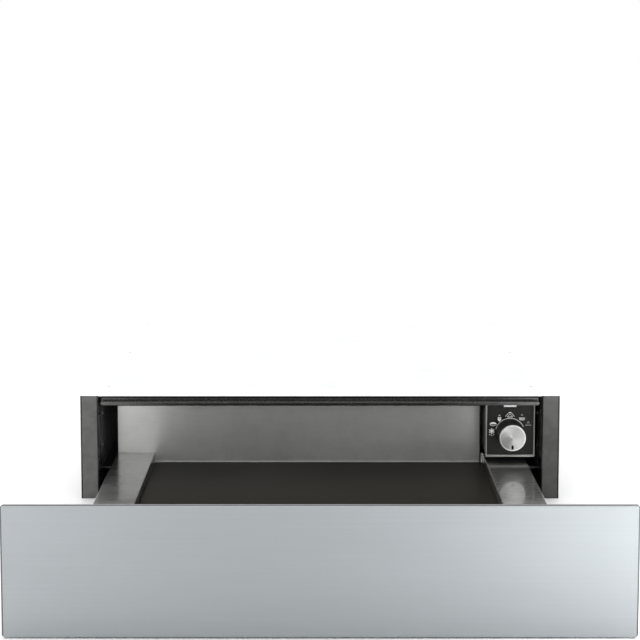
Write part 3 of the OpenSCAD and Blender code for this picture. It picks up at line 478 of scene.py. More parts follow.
def islands(node):
    """Boxes (lowest, highest corner) of the separate solids of a CAD node."""
    bm = welded(node)
    seen, found = set(), []
    for first in bm.verts:
        if first in seen:
            continue
        group, queue = [], [first]
        seen.add(first)
        while queue:
            v = queue.pop()
            group.append(v.co.copy())
            near = {e.other_vert(v) for e in v.link_edges} - seen
            seen |= near
            queue += near
        low, high = (Vector([pick(c[i] for c in group) for i in range(3)]) for pick in (min, max))
        found.append((low, high))
    bm.free()
    return found


# ---- node trees ----


class Nodes:
    """A node tree that is being built."""

    def __init__(self, tree):
        self.tree = tree

    def put(self, kind, values=None, **settings):
        """A new node. A value that is a socket is linked, any other is set."""
        made = self.tree.nodes.new(kind)
        for key, value in settings.items():
            setattr(made, key, value)
        for key, value in (values or {}).items():
            if isinstance(value, bpy.types.NodeSocket):
                self.tree.links.new(value, made.inputs[key])
            else:
                made.inputs[key].default_value = value
        return made

    def maths(self, operation, a, b=0.5, clamp=False):
        node = self.put("ShaderNodeMath", {0: a, 1: b}, operation=operation, use_clamp=clamp)
        return node.outputs[0]

    def times(self, a, b):
        return self.maths("MULTIPLY", a, b)

    def plus(self, a, b):
        return self.maths("ADD", a, b)

    def both(self, first, *others):
        """One where all the masks are one."""
        for other in others:
            first = self.times(first, other)
        return first

    def spread(self, value, low, high, to_low=0.0, to_high=1.0):
        """The value mapped from one range to another, held inside it."""
        values = {0: value, 1: low, 2: high, 3: to_low, 4: to_high}
        return self.put("ShaderNodeMapRange", values, clamp=True).outputs[0]

    def mixed(self, share, a, b):
        """Two colours mixed by a share."""
        return self.put("ShaderNodeMix", {0: share, 6: a, 7: b}, data_type="RGBA").outputs[2]

    def vector(self, operation, a, b, output=0):
        values = {0: a} if b is None else {0: a, 1: b}
        return self.put("ShaderNodeVectorMath", values, operation=operation).outputs[output]

    def stretched(self, vector, by):
        return self.vector("MULTIPLY", vector, by)

    def axes(self, vector):
        """A vector's X, Y and Z."""
        return self.put("ShaderNodeSeparateXYZ", {0: vector}).outputs

    def noise(self, vector, scale, detail=3.0, rough=0.55):
        values = {"Vector": vector, "Scale": scale, "Detail": detail, "Roughness": rough}
        return self.put("ShaderNodeTexNoise", values).outputs[0]


def new_group(name, kind, inputs, outputs):
    """An empty node group; returns its builder, its inputs' sockets by name and its output node.
    Each input or output is its name, its sort and, where one fits, its value."""
    tree = bpy.data.node_groups.new(name, kind)
    for way, sockets in (("INPUT", inputs), ("OUTPUT", outputs)):
        for label, sort, *value in sockets:
            socket = tree.interface.new_socket(label, in_out=way, socket_type="NodeSocket" + sort)
            if value:
                socket.default_value = value[0]
    given = {s.name: s for s in tree.nodes.new("NodeGroupInput").outputs if s.name}
    return Nodes(tree), given, tree.nodes.new("NodeGroupOutput")


# ---- shader groups ----


def brushed_lines(n, given):
    """Long fine lines. Frequency is lines per metre along each axis."""
    along = n.stretched(given["Vector"], given["Frequency"])
    broad = n.noise(along, 1.0, 4.0, 0.65)
    tight = n.noise(n.stretched(along, (2.3, 3.7, 3.7)), 1.0, 3.0, 0.7)
    lines = n.spread(n.plus(n.times(broad, 0.55), n.times(tight, 0.45)), 0.36, 0.64)
    return lines, n.spread(tight, 0.3, 0.7)


def handling_marks(n, given):
    """Soft cloudy marks from handling."""
    cloud = n.noise(given["Vector"], given["Scale"], 5.0, 0.62)
    wipe = n.noise(n.stretched(given["Vector"], (1.0, 2.5, 6.0)), given["Scale"], 2.0)
    return (n.spread(n.times(cloud, wipe), 0.14, 0.42),)


def zinc_crystals(n, given):
    """Zinc crystals: a value for each crystal and the grain inside it."""
    cells = n.put("ShaderNodeTexVoronoi", {"Vector": given["Vector"], "Scale": given["Scale"]})
    value = n.put("ShaderNodeSeparateColor", {0: cells.outputs["Color"]}).outputs[0]
    return value, n.noise(given["Vector"], n.times(given["Scale"], 6.0), 4.0, 0.7)


def fine_pits(n, given):
    """A fine pebbled height for powder coat and mouldings, and a slower waviness."""
    fine = n.noise(given["Vector"], given["Scale"], 2.0, 0.5)
    return fine, n.noise(given["Vector"], n.times(given["Scale"], 0.12), 2.0, 0.5)


def worn_edges(n, given):
    """A mask on outward edges, broken up by noise."""
    point = n.put("ShaderNodeNewGeometry").outputs["Pointiness"]
    edge = n.spread(point, 0.505, 0.56)
    broken = n.spread(n.noise(given["Vector"], given["Scale"], 4.0), 0.35, 0.6, 0.25, 1.0)
    return (n.maths("MULTIPLY", n.times(edge, broken), given["Amount"], True),)


def turned_rings(n, given):
    """Rings about an axis along Y through the centre, with the angle round it and the distance from it."""
    apart = n.vector("SUBTRACT", given["Vector"], given["Centre"])
    flat = n.stretched(apart, (1.0, 0.0, 1.0))
    radius = n.vector("LENGTH", flat, None, "Value")
    turns = n.times(radius, given["Frequency"])
    values = {"W": turns, "Scale": 1.0, "Detail": 3.0, "Roughness": 0.7}
    rings = n.put("ShaderNodeTexNoise", values, noise_dimensions="1D").outputs[0]
    x, _, z = n.axes(flat)
    return rings, n.maths("ARCTAN2", z, x), radius


VECTOR = ("Vector", "Vector")
SCALE = ("Scale", "Float", 10.0)
# the shader groups that the finishes share: what builds each one, its inputs and its outputs
EFFECTS = {
    "Brushed Lines": (brushed_lines, [VECTOR, ("Frequency", "Vector", (10.0, 900.0, 900.0))], "Lines Fine"),
    "Handling Marks": (handling_marks, [VECTOR, SCALE], "Marks"),
    "Zinc Crystals": (zinc_crystals, [VECTOR, SCALE], "Crystal Feather"),
    "Fine Pits": (fine_pits, [VECTOR, SCALE], "Fine Slow"),
    "Worn Edges": (worn_edges, [VECTOR, SCALE, ("Amount", "Float", 0.5)], "Mask"),
    "Turned Rings": (
        turned_rings,
        [VECTOR, ("Centre", "Vector"), ("Frequency", "Float", 3000.0)],
        "Rings Angle Radius",
    ),
}


def build_effects():
    """Builds every shader group."""
    for name, (build, inputs, outputs) in EFFECTS.items():
        labels = outputs.split()
        n, given, leave = new_group(name, "ShaderNodeTree", inputs, [(label, "Float") for label in labels])
        for label, socket in zip(labels, build(n, given)):
            n.tree.links.new(socket, leave.inputs[label])


# ---- materials ----


def rgba(c, by=1.0):
    return tuple(min(part * by, 1.0) for part in c[:3]) + (1.0,)


class Finish(Nodes):
    """A new material: its tree, its Principled shader and Object coordinates. plain sets plain sockets."""

    def __init__(self, name, **plain):
        material = bpy.data.materials.new(name)
        material.use_nodes = True
        super().__init__(material.node_tree)
        self.shader = next(n for n in self.tree.nodes if n.type == "BSDF_PRINCIPLED")
        for key, value in plain.items():
            self.shader.inputs[key.replace("_", " ")].default_value = value
        self.where = self.put("ShaderNodeTexCoord").outputs["Object"]

    def use(self, name, **values):
        """Places a shader group at the surface's own place and returns its outputs."""
        values = {"Vector": self.where, **values}
        return self.put("ShaderNodeGroup", values, node_tree=bpy.data.node_groups[name]).outputs

    def drive(self, socket, value):
        """Links a value that changes over the surface to one of the shader's sockets."""
        self.tree.links.new(value, self.shader.inputs[socket])

    def shade(self, share, towards=BLACK):
        """Mixes the base colour so far towards another one, and returns the mix."""
        tone = self.shader.inputs["Base Color"].links[0].from_socket
        tone = self.mixed(share, tone, towards)
        self.drive("Base Color", tone)
        return tone

    def bump(self, height, strength, distance):
        values = {"Strength": strength, "Distance": distance, "Height": height}
        self.drive("Normal", self.put("ShaderNodeBump", values).outputs[0])

    def handled(self, base, tone, gloss, marks, edges):
        """Adds handling marks and worn edges, and links the colour and the gloss to the shader.
        marks is their scale, share, shade and haze; edges is the wear's scale, amount and shade."""
        soft = self.use("Handling Marks", Scale=marks[0])["Marks"]
        wear = self.use("Worn Edges", Scale=edges[0], Amount=edges[1])["Mask"]
        tone = self.mixed(self.times(soft, marks[1]), tone, rgba(base, marks[2]))
        self.drive("Base Color", self.mixed(wear, tone, rgba(base, edges[2])))
        self.drive("Roughness", self.plus(gloss, self.times(soft, marks[3])))


def brushed_metal(name, base, rough, frequency, contrast=0.1, relief=0.25, marks=8.0, aniso=0.0, **plain):
    """Metal brushed in one direction: lines in its colour, gloss and relief, with soft handling marks.
    frequency is lines per metre along each axis, marks is the scale of the handling marks, and aniso
    spreads the reflections across lines that run along X."""
    f = Finish(name, Metallic=1.0, **plain)
    lines = f.use("Brushed Lines", Frequency=frequency)
    tone = f.mixed(lines["Lines"], rgba(base, 1.0 - contrast), rgba(base, 1.0 + contrast))
    gloss = f.spread(lines["Fine"], 0.0, 1.0, rough - 0.05, rough + 0.06)
    f.handled(base, tone, gloss, (marks, 0.25, 0.86, 0.08), (60.0, 0.5, 1.25))
    f.bump(lines["Lines"], relief, 0.00008)
    if aniso:
        f.shader.inputs["Anisotropic"].default_value = aniso
        f.drive("Tangent", f.put("ShaderNodeCombineXYZ", {0: 0.0, 1: 0.7071, 2: 0.7071}).outputs[0])
    return f


def coated(name, base, rough, pits=900.0, relief=0.35, edge=1.6, drift=0.08, **plain):
    """Paint, plastic or rubber: pebbled relief, slightly uneven tone and gloss, paler rubbed edges.
    pits is the scale of the pebbles, edge the rubbed edges' brightness, drift the tone's unevenness."""
    f = Finish(name, **plain)
    skin = f.use("Fine Pits", Scale=pits)
    tone = f.mixed(skin["Slow"], rgba(base, 1.0 - drift), rgba(base, 1.0 + drift))
    gloss = f.spread(skin["Fine"], 0.3, 0.7, rough - 0.04, rough + 0.05)
    f.handled(base, tone, gloss, (9.0, 0.3, 1.18, 0.07), (80.0, 0.7, edge))
    f.bump(skin["Fine"], relief, 0.00012)
    return f


def carcass_steel(c):
    """The carcass's galvanised sheet: faint crystals, with painted shade that darkens its inner faces and,
    less, its outer sides.
    """
    base, rough, contrast, sheet = c.carcass, 0.42, 0.09, 0.0004
    f = Finish("carcass_steel", Metallic=1.0)
    zinc = f.use("Zinc Crystals", Scale=75.0)
    tone = f.mixed(zinc["Crystal"], rgba(base, 1.0 - contrast), rgba(base, 1.0 + contrast))
    tone = f.mixed(f.times(zinc["Feather"], 0.3), tone, rgba(base))
    gloss = f.spread(zinc["Crystal"], 0.0, 1.0, rough - 0.08, rough + 0.08)
    f.handled(base, tone, gloss, (6.0, 0.16, 0.8, 0.03), (40.0, 0.5, 1.3))
    f.bump(zinc["Feather"], 0.12, 0.0001)
    x, y, z = f.axes(f.where)
    inside = f.maths("LESS_THAN", f.maths("ABSOLUTE", x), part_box("housing_right_side")[1].x - sheet)
    under = f.maths("LESS_THAN", z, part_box("housing_roof")[1].z - sheet)
    above = f.maths("GREATER_THAN", z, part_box("housing_floor")[0].z + sheet)
    before = f.maths("LESS_THAN", y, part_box("housing_back")[1].y - sheet)
    inside_shade = f.both(inside, under, above, before)
    # painted shade: the inner faces are painted dark where shade falls inside the carcass
    f.shade(f.times(inside_shade, 0.62))
    # painted shade: the outer sides and the back are painted darker than the roof
    f.shade(f.times(f.times(under, f.maths("SUBTRACT", 1.0, inside_shade)), 0.34))


def dial_metal(c):
    """Spun metal: fine rings that spread the light into wedges, with painted reflection wedges in its colour
    inside a cut rim of the plain colour.
    """
    base = c.dial
    # the radii between which the rim, free of the painted wedges, begins, and the angle where the painted
    # shade of the wedges is deepest
    rim_foot, rim_top, painted_shade_angle = 0.0143, 0.0149, math.radians(200)
    _, _, x, z = middle("dial_face")
    f = Finish("dial_metal", Metallic=0.8, Anisotropic=0.86)
    rings, angle, radius = f.use("Turned Rings", Centre=(x, 0.0, z), Frequency=5200.0)
    marks = f.use("Handling Marks", Scale=60.0)["Marks"]
    # painted reflection: a wedge of painted shade, darkest towards the left and lighter elsewhere
    left = f.maths("COSINE", f.maths("SUBTRACT", angle, painted_shade_angle))
    tone = f.mixed(f.spread(left, 0.3, 0.9), rgba(base, 0.64), rgba(base, 0.36))
    tone = f.mixed(f.spread(radius, rim_foot, rim_top, 1.0, 0.0), rgba(base), tone)
    tone = f.mixed(f.times(f.spread(rings, 0.35, 0.65), 0.3), tone, rgba(base, 0.8))
    f.drive("Base Color", f.mixed(f.times(marks, 0.2), tone, rgba(base, 0.9)))
    f.drive("Roughness", f.spread(rings, 0.3, 0.7, 0.24, 0.34))
    f.drive("Tangent", f.put("ShaderNodeTangent", direction_type="RADIAL", axis="Y").outputs[0])
    f.bump(rings, 0.15, 0.00004)


def frame_paint(c):
    """Dark metallic paint, with painted shade that makes it nearly black along the posts' outer edges and the
    rail's top edge.
    """
    f = coated("frame_paint", c.paint, 0.22, pits=1400.0, relief=0.03, edge=1.5, drift=0.03, Metallic=0.9)
    x, _, z = f.axes(f.where)
    post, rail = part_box("right_post")[1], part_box("top_rail")[1]
    shade_band, gap = chosen("drawer_sheets").dark_edge, 0.001
    aside = f.maths("ABSOLUTE", x)
    outer = f.maths("GREATER_THAN", aside, post.x - shade_band)
    top = f.maths("GREATER_THAN", z, rail.z - shade_band)
    inner = f.maths("LESS_THAN", aside, rail.x + gap / 10)
    # painted shade along the posts' outer edges and the rail's top edge
    dark = f.maths("MAXIMUM", outer, f.times(top, inner))
    # painted shade: the right post's coat is painted darker than the left's
    f.shade(f.spread(x, rail.x + gap, rail.x + 2 * gap, 0.0, 0.38))
    f.shade(f.times(dark, 0.9), (0.002, 0.002, 0.002, 1.0))


def scale_print(c):
    """The scale's print, brightest at the left and greyer towards the right, with a faint glow that is
    painted light.
    """
    fine = {"pits": 2500.0, "relief": 0.15, "edge": 1.1, "drift": 0.03}
    # painted light: the print glows faintly though it is no lamp
    f = coated("scale_print", c.print_grey, 0.45, **fine, Emission_Strength=0.22)
    _, _, dial_x, _ = middle("dial_face")
    bright_end, grey_end = dial_x - 0.018, dial_x + 0.024
    fade = f.spread(f.axes(f.where)[0], bright_end, grey_end, 0.0, 0.62)
    f.drive("Emission Color", f.shade(fade, rgba(c.print_grey, 0.25)))


def wool():
    """Mineral wool: matted fibres in two directions, yellow-brown with paler tufts."""
    f = Finish("wool", Roughness=0.95, Sheen_Weight=0.3)
    one = f.use("Brushed Lines", Frequency=(160.0, 1400.0, 600.0))["Lines"]
    two = f.use("Brushed Lines", Frequency=(1300.0, 180.0, 600.0))["Lines"]
    tufts = f.noise(f.where, 120.0, 5.0, 0.6)
    fibres = f.maths("MAXIMUM", one, two)
    tone = f.mixed(fibres, rgba((0.42, 0.34, 0.19)), rgba((0.74, 0.66, 0.45)))
    pale = f.spread(tufts, 0.45, 0.65, 0.0, 0.6)
    f.drive("Base Color", f.mixed(pale, tone, rgba((0.78, 0.72, 0.55))))
    f.bump(f.plus(fibres, tufts), 0.8, 0.0006)


def core_board():
    """Honeycomb board: brown liner with flecks and faint ribs of the core."""
    f = Finish("core_board", Roughness=0.85)
    flecks = f.noise(f.where, 700.0, 4.0, 0.7)
    values = {"Vector": f.where, "Scale": 110.0, "Randomness": 0.15}
    cells = f.put("ShaderNodeTexVoronoi", values, feature="DISTANCE_TO_EDGE").outputs[0]
    ribs = f.spread(cells, 0.0, 0.12, 1.0, 0.0)
    tone = f.mixed(f.spread(flecks, 0.35, 0.65), rgba((0.36, 0.25, 0.14)), rgba((0.52, 0.39, 0.24)))
    f.drive("Base Color", f.mixed(f.times(ribs, 0.3), tone, rgba((0.3, 0.2, 0.11))))
    f.bump(f.plus(flecks, f.times(ribs, -0.6)), 0.4, 0.0002)


# lines per metre in the brushing of the tray and its back wall, which runs along X
SHEET_GRAIN = (16.0, 1100.0, 1100.0)


def tray_steel(c):
    """The tray's brushed steel under a clear, glossy coat."""
    coat = {"Coat_Weight": 0.7, "Coat_Roughness": 0.05}
    brushed_metal(
        "tray_steel", c.tray, 0.25, SHEET_GRAIN, contrast=0.035, relief=0.07, marks=5.0, aniso=0.45, **coat
    )


def wall_steel(c):
    """The back wall's brushed steel, with painted shade that darkens it towards its foot."""
    f = brushed_metal("wall_steel", c.wall, 0.36, SHEET_GRAIN, contrast=0.08, marks=5.0, aniso=0.7)
    foot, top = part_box("glass_base")[1].z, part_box("drawer_back_wall")[1].z
    # painted shade, darkest at the foot of the wall
    f.shade(f.spread(f.axes(f.where)[2], foot, top, 0.3, 0.0))


def front_steel(c):
    """The front's satin steel: very fine lines across, faint clouding and painted shade along its folded rim.
    """
    lines = (7.0, 1500.0, 1500.0)
    f = brushed_metal("front_steel", c.front, 0.33, lines, contrast=0.035, relief=0.1, marks=3.0, aniso=0.35)
    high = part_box("front_skin")[1]
    x, _, z = f.axes(f.where)
    rim = chosen("drawer_sheets").front_rim
    side = f.maths("GREATER_THAN", f.maths("ABSOLUTE", x), high.x - rim)
    top = f.maths("GREATER_THAN", z, high.z - rim / 3)
    # painted shade on the folded rim at the sides and the top
    f.shade(f.times(f.maths("MAXIMUM", side, top), 0.7))


def base_glass(c):
    """The dark base: smooth, with dust and faint wiping marks in its gloss."""
    f = Finish("base_glass", Metallic=0.0, Specular_IOR_Level=0.04)
    marks = f.use("Handling Marks", Scale=5.0)["Marks"]
    dust = f.noise(f.where, 1500.0, 2.0, 0.6)
    tone = f.mixed(marks, rgba(c.glass, 0.9), rgba(c.glass, 1.25))
    f.drive("Base Color", f.mixed(f.spread(dust, 0.62, 0.8, 0.0, 0.35), tone, rgba(c.glass, 2.2)))
    f.drive("Roughness", f.spread(marks, 0.0, 1.0, 0.34, 0.42))
    f.bump(dust, 0.05, 0.00003)


def lens_white():
    """The opal pilot lens: fine vertical flutes that spread the lamp's light."""
    f = Finish("lens_white", Roughness=0.3, Emission_Strength=0.3, Emission_Color=WHITE)
    flutes = f.use("Brushed Lines", Frequency=(2400.0, 60.0, 40.0))["Lines"]
    f.drive("Base Color", f.mixed(flutes, rgba((0.86, 0.86, 0.84)), rgba((0.96, 0.96, 0.95))))
    f.bump(flutes, 0.2, 0.00005)


def build_materials():
    c = chosen("drawer_colours")
    for build in (tray_steel, wall_steel, front_steel, carcass_steel, frame_paint, scale_print):
        build(c)
    dial_metal(c)
    base_glass(c)
    wool()
    core_board()
    lens_white()
    # colour, roughness, lines per metre along each axis, contrast, relief, scale of the handling marks
    # the slides' black zinc is made this dark partly as painted shade for the gap beside the tray
    brushed_metal("slide_steel", (0.15, 0.15, 0.155), 0.3, (900.0, 20.0, 900.0), 0.06, 0.12, 14.0)
    brushed_metal("ball_steel", (0.72, 0.72, 0.73), 0.14, (500.0, 60.0, 500.0), 0.05, 0.05, 20.0)
    brushed_metal("screw_steel", (0.6, 0.6, 0.61), 0.26, (500.0, 500.0, 500.0), 0.1, 0.08, 40.0)
    brushed_metal("screw_black", (0.06, 0.06, 0.06), 0.35, (500.0, 500.0, 500.0), 0.1, 0.08, 40.0)
    brushed_metal("spring_wire", (0.5, 0.5, 0.5), 0.24, (800.0, 200.0, 800.0), 0.1, 0.1, 40.0)
    brushed_metal("bezel_metal", c.bezel, 0.34, (60.0, 60.0, 2500.0), 0.05, 0.08, 20.0)
    brushed_metal("spreader_metal", (0.66, 0.67, 0.68), 0.36, (14.0, 500.0, 500.0), 0.08, 0.15, 6.0)
    brushed_metal("pan_metal", (0.55, 0.56, 0.57), 0.4, (500.0, 9.0, 500.0), 0.07, 0.12, 4.0)
    # colour, roughness, scale of the pebbles, relief, brightness of rubbed edges
    coated("black_plastic", (0.02, 0.02, 0.02), 0.42, 1800.0, 0.4, 1.8)
    coated("fascia_black", c.fascia, 0.28, 2200.0, 0.08, 1.6, 0.05, Specular_IOR_Level=0.25)
    coated("lamp_amber", (0.75, 0.3, 0.05), 0.2, 900.0, 0.1, 1.2, Transmission_Weight=0.35)
    coated("pale_plastic", (0.68, 0.65, 0.57), 0.5, 1500.0, 0.3, 1.15)
    coated("loom_black", (0.03, 0.03, 0.03), 0.6, 1200.0, 0.4, 1.6)
    coated("lead_white", (0.7, 0.69, 0.64), 0.5, 1600.0, 0.25, 1.1)
    coated("cord_red", (0.5, 0.1, 0.04), 0.4, 1500.0, 0.2, 1.2)
    coated("rubber_black", (0.022, 0.022, 0.022), 0.7, 1300.0, 0.5, 1.7)
    coated("slot_black", (0.004, 0.004, 0.004), 0.8, 1800.0, 0.2, 1.5, Specular_IOR_Level=0.1)


class DRAWER_OT_finishes(bpy.types.Operator):
    """Builds the shader groups and materials and puts them on every CAD node"""

    bl_idname = "drawer.finishes"
    bl_label = "Finishes"

    def execute(self, context):
        for material in list(bpy.data.materials):
            material.name = "plain_" + material.name
        build_effects()
        build_materials()
        for node in frame["nodes"].values():
            for s in node.material_slots:
                s.material = bpy.data.materials[s.material.name.removeprefix("plain_")]
        return {"FINISHED"}


# ---- pieces ----


class DRAWER_OT_front(bpy.types.Operator):
    """Builds the steel front as a pressed sheet with rolled edges"""

    bl_idname = "drawer.front"
    bl_label = "Steel Front"

    def execute(self, context):
        s = chosen("drawer_sheets")
        low, high, cx, cz = middle("front_skin")
        half_w, half_h = (high.x - low.x) / 2, (high.z - low.z) / 2
        edge, t, r = s.front_edge, s.front_sheet, s.front_corner
        y0, y1 = low.y, high.y
        flat, hem, crease = 0.0006, 0.0002, 0.0004

        def ring(inset, y):
            """The front's outline, moved inwards."""
            corner = max(r - inset, crease)
            w, h = half_w - inset - corner, half_h - inset - corner
            out = []
            for sx, sz, start in ((1, 1, 0), (-1, 1, 90), (-1, -1, 180), (1, -1, 270)):
                for k in range(9):
                    a = math.radians(start + 90 * k / 8)
                    out.append((cx + sx * w + corner * math.cos(a), y, cz + sz * h + corner * math.sin(a)))
            return out

        profile = [(edge + flat, y0), (edge, y0)]
        for k in range(1, 6):
            a = math.radians(90 * k / 5)
            profile.append((edge * (1 - math.sin(a)), y0 + edge * (1 - math.cos(a))))
        profile += [(0, y1 - hem), (hem, y1), (t - hem, y1), (t, y1 - hem)]
        profile += [(t, y0 + t + crease), (t + crease, y0 + t)]
        rings = [ring(inset, y) for inset, y in profile]
        points = [point for one in rings for point in one]
        mesh = solid("front_panel", points, ring_faces(len(rings), len(rings[0])))
        place("front_panel", smooth(mesh, 50), "front_steel", "drawer", ["front_skin"])
        softened("front_backing", s.sheet_edge)
        return {"FINISHED"}


class DRAWER_OT_frame(bpy.types.Operator):
    """Builds the painted front frame: two posts, the grooved top rail and the sill"""

    bl_idname = "drawer.frame"
    bl_label = "Front Frame"

    def execute(self, context):
        s = chosen("drawer_sheets")
        t = POST_SHEET
        for node, side in (("right_post", 1), ("left_post", -1)):
            low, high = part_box(node)
            near, far = sorted((abs(low.x), abs(high.x)))
            inner, outer = side * (near + t / 2), side * (far - t / 2)
            y0 = low.y + t / 2
            lip = y0 + POST_LIP
            path = [(inner, lip), (inner, y0), (outer, y0), (outer, low.y + POST_SIDE)]
            face = post_sheet(node + "_face", path, low.z, high.z)
            # the short flanges are trimmed at the top, so the face alone makes the post's outline
            for v in face.vertices:
                if v.co.z > high.z - t:
                    v.co.z -= max(0.0, v.co.y - low.y - t) * s.flange_trim
            place(node + "_face", rounded(face, s.frame_edge), "frame_paint", "root", [node])
            path = [(inner, lip + 0.0001), (inner, high.y)]
            fold = post_sheet(node + "_fold", path, POST_FOLD_FOOT, POST_FOLD_TOP)
            place(node + "_fold", rounded(fold, s.frame_edge), "frame_paint", "root")
        softened("top_rail", s.frame_edge)
        softened("bottom_rail", s.frame_edge)
        return {"FINISHED"}


class DRAWER_OT_carcass(bpy.types.Operator):
    """Gives the carcass sheets, brackets and slides their rounded edges"""

    bl_idname = "drawer.carcass"
    bl_label = "Carcass and Slides"

    def execute(self, context):
        edge = chosen("drawer_sheets").sheet_edge
        sheets = ["housing_floor", "housing_left_side", "housing_right_side", "housing_back"]
        sheets += ["housing_roof", "control_box", "front_left_bracket", "front_right_bracket"]
        sheets += ["tray_underpan", "heater_plate"]
        for node in sheets:
            softened(node, edge, split=node == "housing_back")
        for side in ("left", "right"):
            # painted shade: the spacers get a near-black finish so they read as the shade around them
            softened(f"slide_{side}_spacer", edge, "screw_black")
            for member in ("outer", "middle", "inner"):
                softened(f"slide_{side}_{member}", edge)
        return {"FINISHED"}


def wall_sheet(ledge):
    """The drawer's back wall: one sheet, its top and ends folded back, stepped over the left ledge."""
    s = chosen("drawer_sheets")
    t = s.back_sheet
    low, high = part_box("drawer_back_wall")
    skirt = -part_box("slide_right_inner")[0].x
    x0, x1, z0, z1 = low.x, high.x, low.z, high.z
    y0, y1, y2 = low.y, low.y + t, high.y
    foot, top = ledge + 2 * t, z1 - t
    in0, in1 = x0 + t, x1 - t
    around = [(skirt, z0), (x1, z0), (x1, z1), (x0, z1), (x0, ledge), (skirt, ledge)]
    behind = [(skirt, z0), (x1, z0), (x1, foot), (in1, foot), (in1, top)]
    behind += [(in0, top), (in0, foot), (x0, foot), (x0, ledge), (skirt, ledge)]
    rim = [(x0, foot), (x0, z1), (x1, z1), (x1, foot), (in1, foot), (in1, top), (in0, top), (in0, foot)]
    shapes = [[(x, y, z) for x, z in flat] for y, flat in ((y0, around), (y1, behind), (y2, rim))]
    for x, z in ((x0, ledge), (x1, z0)):
        side = [(y0, z), (y0, z1), (y2, z1), (y2, foot), (y1, foot), (y1, z)]
        shapes.append([(x, y, up) for y, up in side])
    upright = ((skirt, z0, ledge, y0, y1), (in0, foot, top, y1, y2), (in1, foot, top, y1, y2))
    for x, lower, upper, near, far in upright:
        shapes.append([(x, near, lower), (x, far, lower), (x, far, upper), (x, near, upper)])
    flat = ((z1, x0, x1, y0, y2), (z0, skirt, x1, y0, y1), (ledge, x0, skirt, y0, y1))
    flat += ((top, in0, in1, y1, y2), (foot, x0, in0, y1, y2), (foot, in1, x1, y1, y2))
    for z, left, right, near, far in flat:
        shapes.append([(left, near, z), (right, near, z), (right, far, z), (left, far, z)])
    points, faces = [], []
    for shape in shapes:
        faces.append(tuple(range(len(points), len(points) + len(shape))))
        points += shape
    bm = bmesh.new()
    bm.from_mesh(solid("wall_sheet", points, faces))

    def folded(edge):
        a, b = (v.co for v in edge.verts)
        front = max(a.y, b.y) < y0 + LEVEL
        across = min(a.z, b.z) > z1 - LEVEL
        upright = abs(a.x - b.x) < LEVEL and (a.x < x0 + LEVEL or a.x > x1 - LEVEL)
        return front and (across or upright)

    round_folds(bm, [e for e in bm.edges if folded(e)], s.wall_bend)
    return finished(bm, "wall_sheet")


class DRAWER_OT_tray(bpy.types.Operator):
    """Builds the tray, its back wall, the dark base and the strip along it"""

    bl_idname = "drawer.tray"
    bl_label = "Tray"

    def execute(self, context):
        s = chosen("drawer_sheets")
        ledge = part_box("drawer_tray")[1].z

        def folded(edge):
            """Long sharp edges along the ledges' top."""
            on_top = all(abs(v.co.z - ledge) < LEVEL for v in edge.verts)
            long = edge.calc_length() > 0.02
            return on_top and long and len(edge.link_faces) == 2 and edge.calc_face_angle(0) > 1.0

        bm = merged_copy("drawer_tray", split=True)
        round_folds(bm, [e for e in bm.edges if folded(e)], s.tray_bend)
        stand_in("drawer_tray", rounded(finished(bm, "drawer_tray_piece"), s.sheet_edge))
        stand_in("drawer_back_wall", rounded(wall_sheet(ledge), s.sheet_edge), "wall_steel")
        softened("glass_base", s.glass_edge)
        softened("glass_retainer", STRIP_EDGE)
        return {"FINISHED"}


def spun_face(c):
    """The dial's metal face: dished inside a raised rim, with a black mark in its pointer slot."""
    low, high, x, z = middle("dial_face")
    r, y0, y1 = (high.x - low.x) / 2, low.y, high.y
    dish = y0 + c.dish
    # rings inside the rim keep the flat face's shading even
    rings = (0.0, 0.004, 0.009, r - c.rim - 0.0006, r - c.rim)
    profile = [(radius, dish) for radius in rings] + [(r - c.rim + 0.0002, y0)]
    # the rim's outer round: how far in and how deep in millimetres
    rounding = ((0.5, 0.0), (0.2, 0.12), (0.05, 0.3), (0.0, 0.6))
    profile += [(r - inset * MM, y0 + deep * MM) for inset, deep in rounding]
    profile += [(r, y1 - 0.0001), (r - 0.0001, y1), (0.0, y1)]
    face = lathe("spun_face", profile, x, z, 128)
    half = c.slot_width / 2
    slot_low = z - r + c.slot_edge + half
    slot_high = z - r + c.slot_edge + c.slot_length - half

    def slot(inset):
        """The pointer slot's outline: two half circles."""
        out = []
        for centre, start in ((slot_high, 0), (slot_low, 180)):
            for k in range(9):
                a = math.radians(start + 180 * k / 8)
                out.append((x + (half - inset) * math.cos(a), centre + (half - inset) * math.sin(a)))
        return out

    face = carved(face, solid("slot_cutter", *prism(slot(0), y0 - 0.001, y0 + 0.0013)))
    place("spun_face", smooth(face, 25), "dial_metal", "dial", ["dial_face"])
    mark = solid("pointer_mark", *prism(slot(0.00001), y0 + 0.0004, y0 + 0.0014))
    place("pointer_mark", rounded(mark, 0.0001), "slot_black", "dial")


def dial_grip():
    """The dial's black body: a grip, a wider collar behind it and a bored socket in its back."""
    _, _, x, z = middle("dial_face")
    low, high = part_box("dial_body")
    collar, front, back = (high.x - low.x) / 2, low.y, high.y
    grip, step, socket, bore = collar - 0.0005, back - 0.003, 0.0065, 0.0031
    profile = [(0.0, front + 0.0001), (grip - 0.0004, front + 0.0001), (grip - 0.0001, front + 0.0002)]
    profile += [(grip, front + 0.0005), (grip, step - 0.0003), (collar - 0.0003, step)]
    profile += [(collar, step + 0.0004), (collar, back - 0.0003), (collar - 0.0003, back)]
    profile += [(socket + 0.0001, back), (socket, back - 0.0001), (socket, back - 0.006)]
    profile += [(bore, back - 0.006), (bore, front + 0.004), (0.0, front + 0.004)]
    body = lathe("dial_grip", profile, x, z, 96)
    place("dial_grip", smooth(body, 35), "black_plastic", "dial", ["dial_body"])


class DRAWER_OT_dial(bpy.types.Operator):
    """Builds the dial: a spun face with a raised rim and pointer slot on a black body"""

    bl_idname = "drawer.dial"
    bl_label = "Dial"

    def execute(self, context):
        spun_face(chosen("drawer_controls"))
        dial_grip()
        return {"FINISHED"}


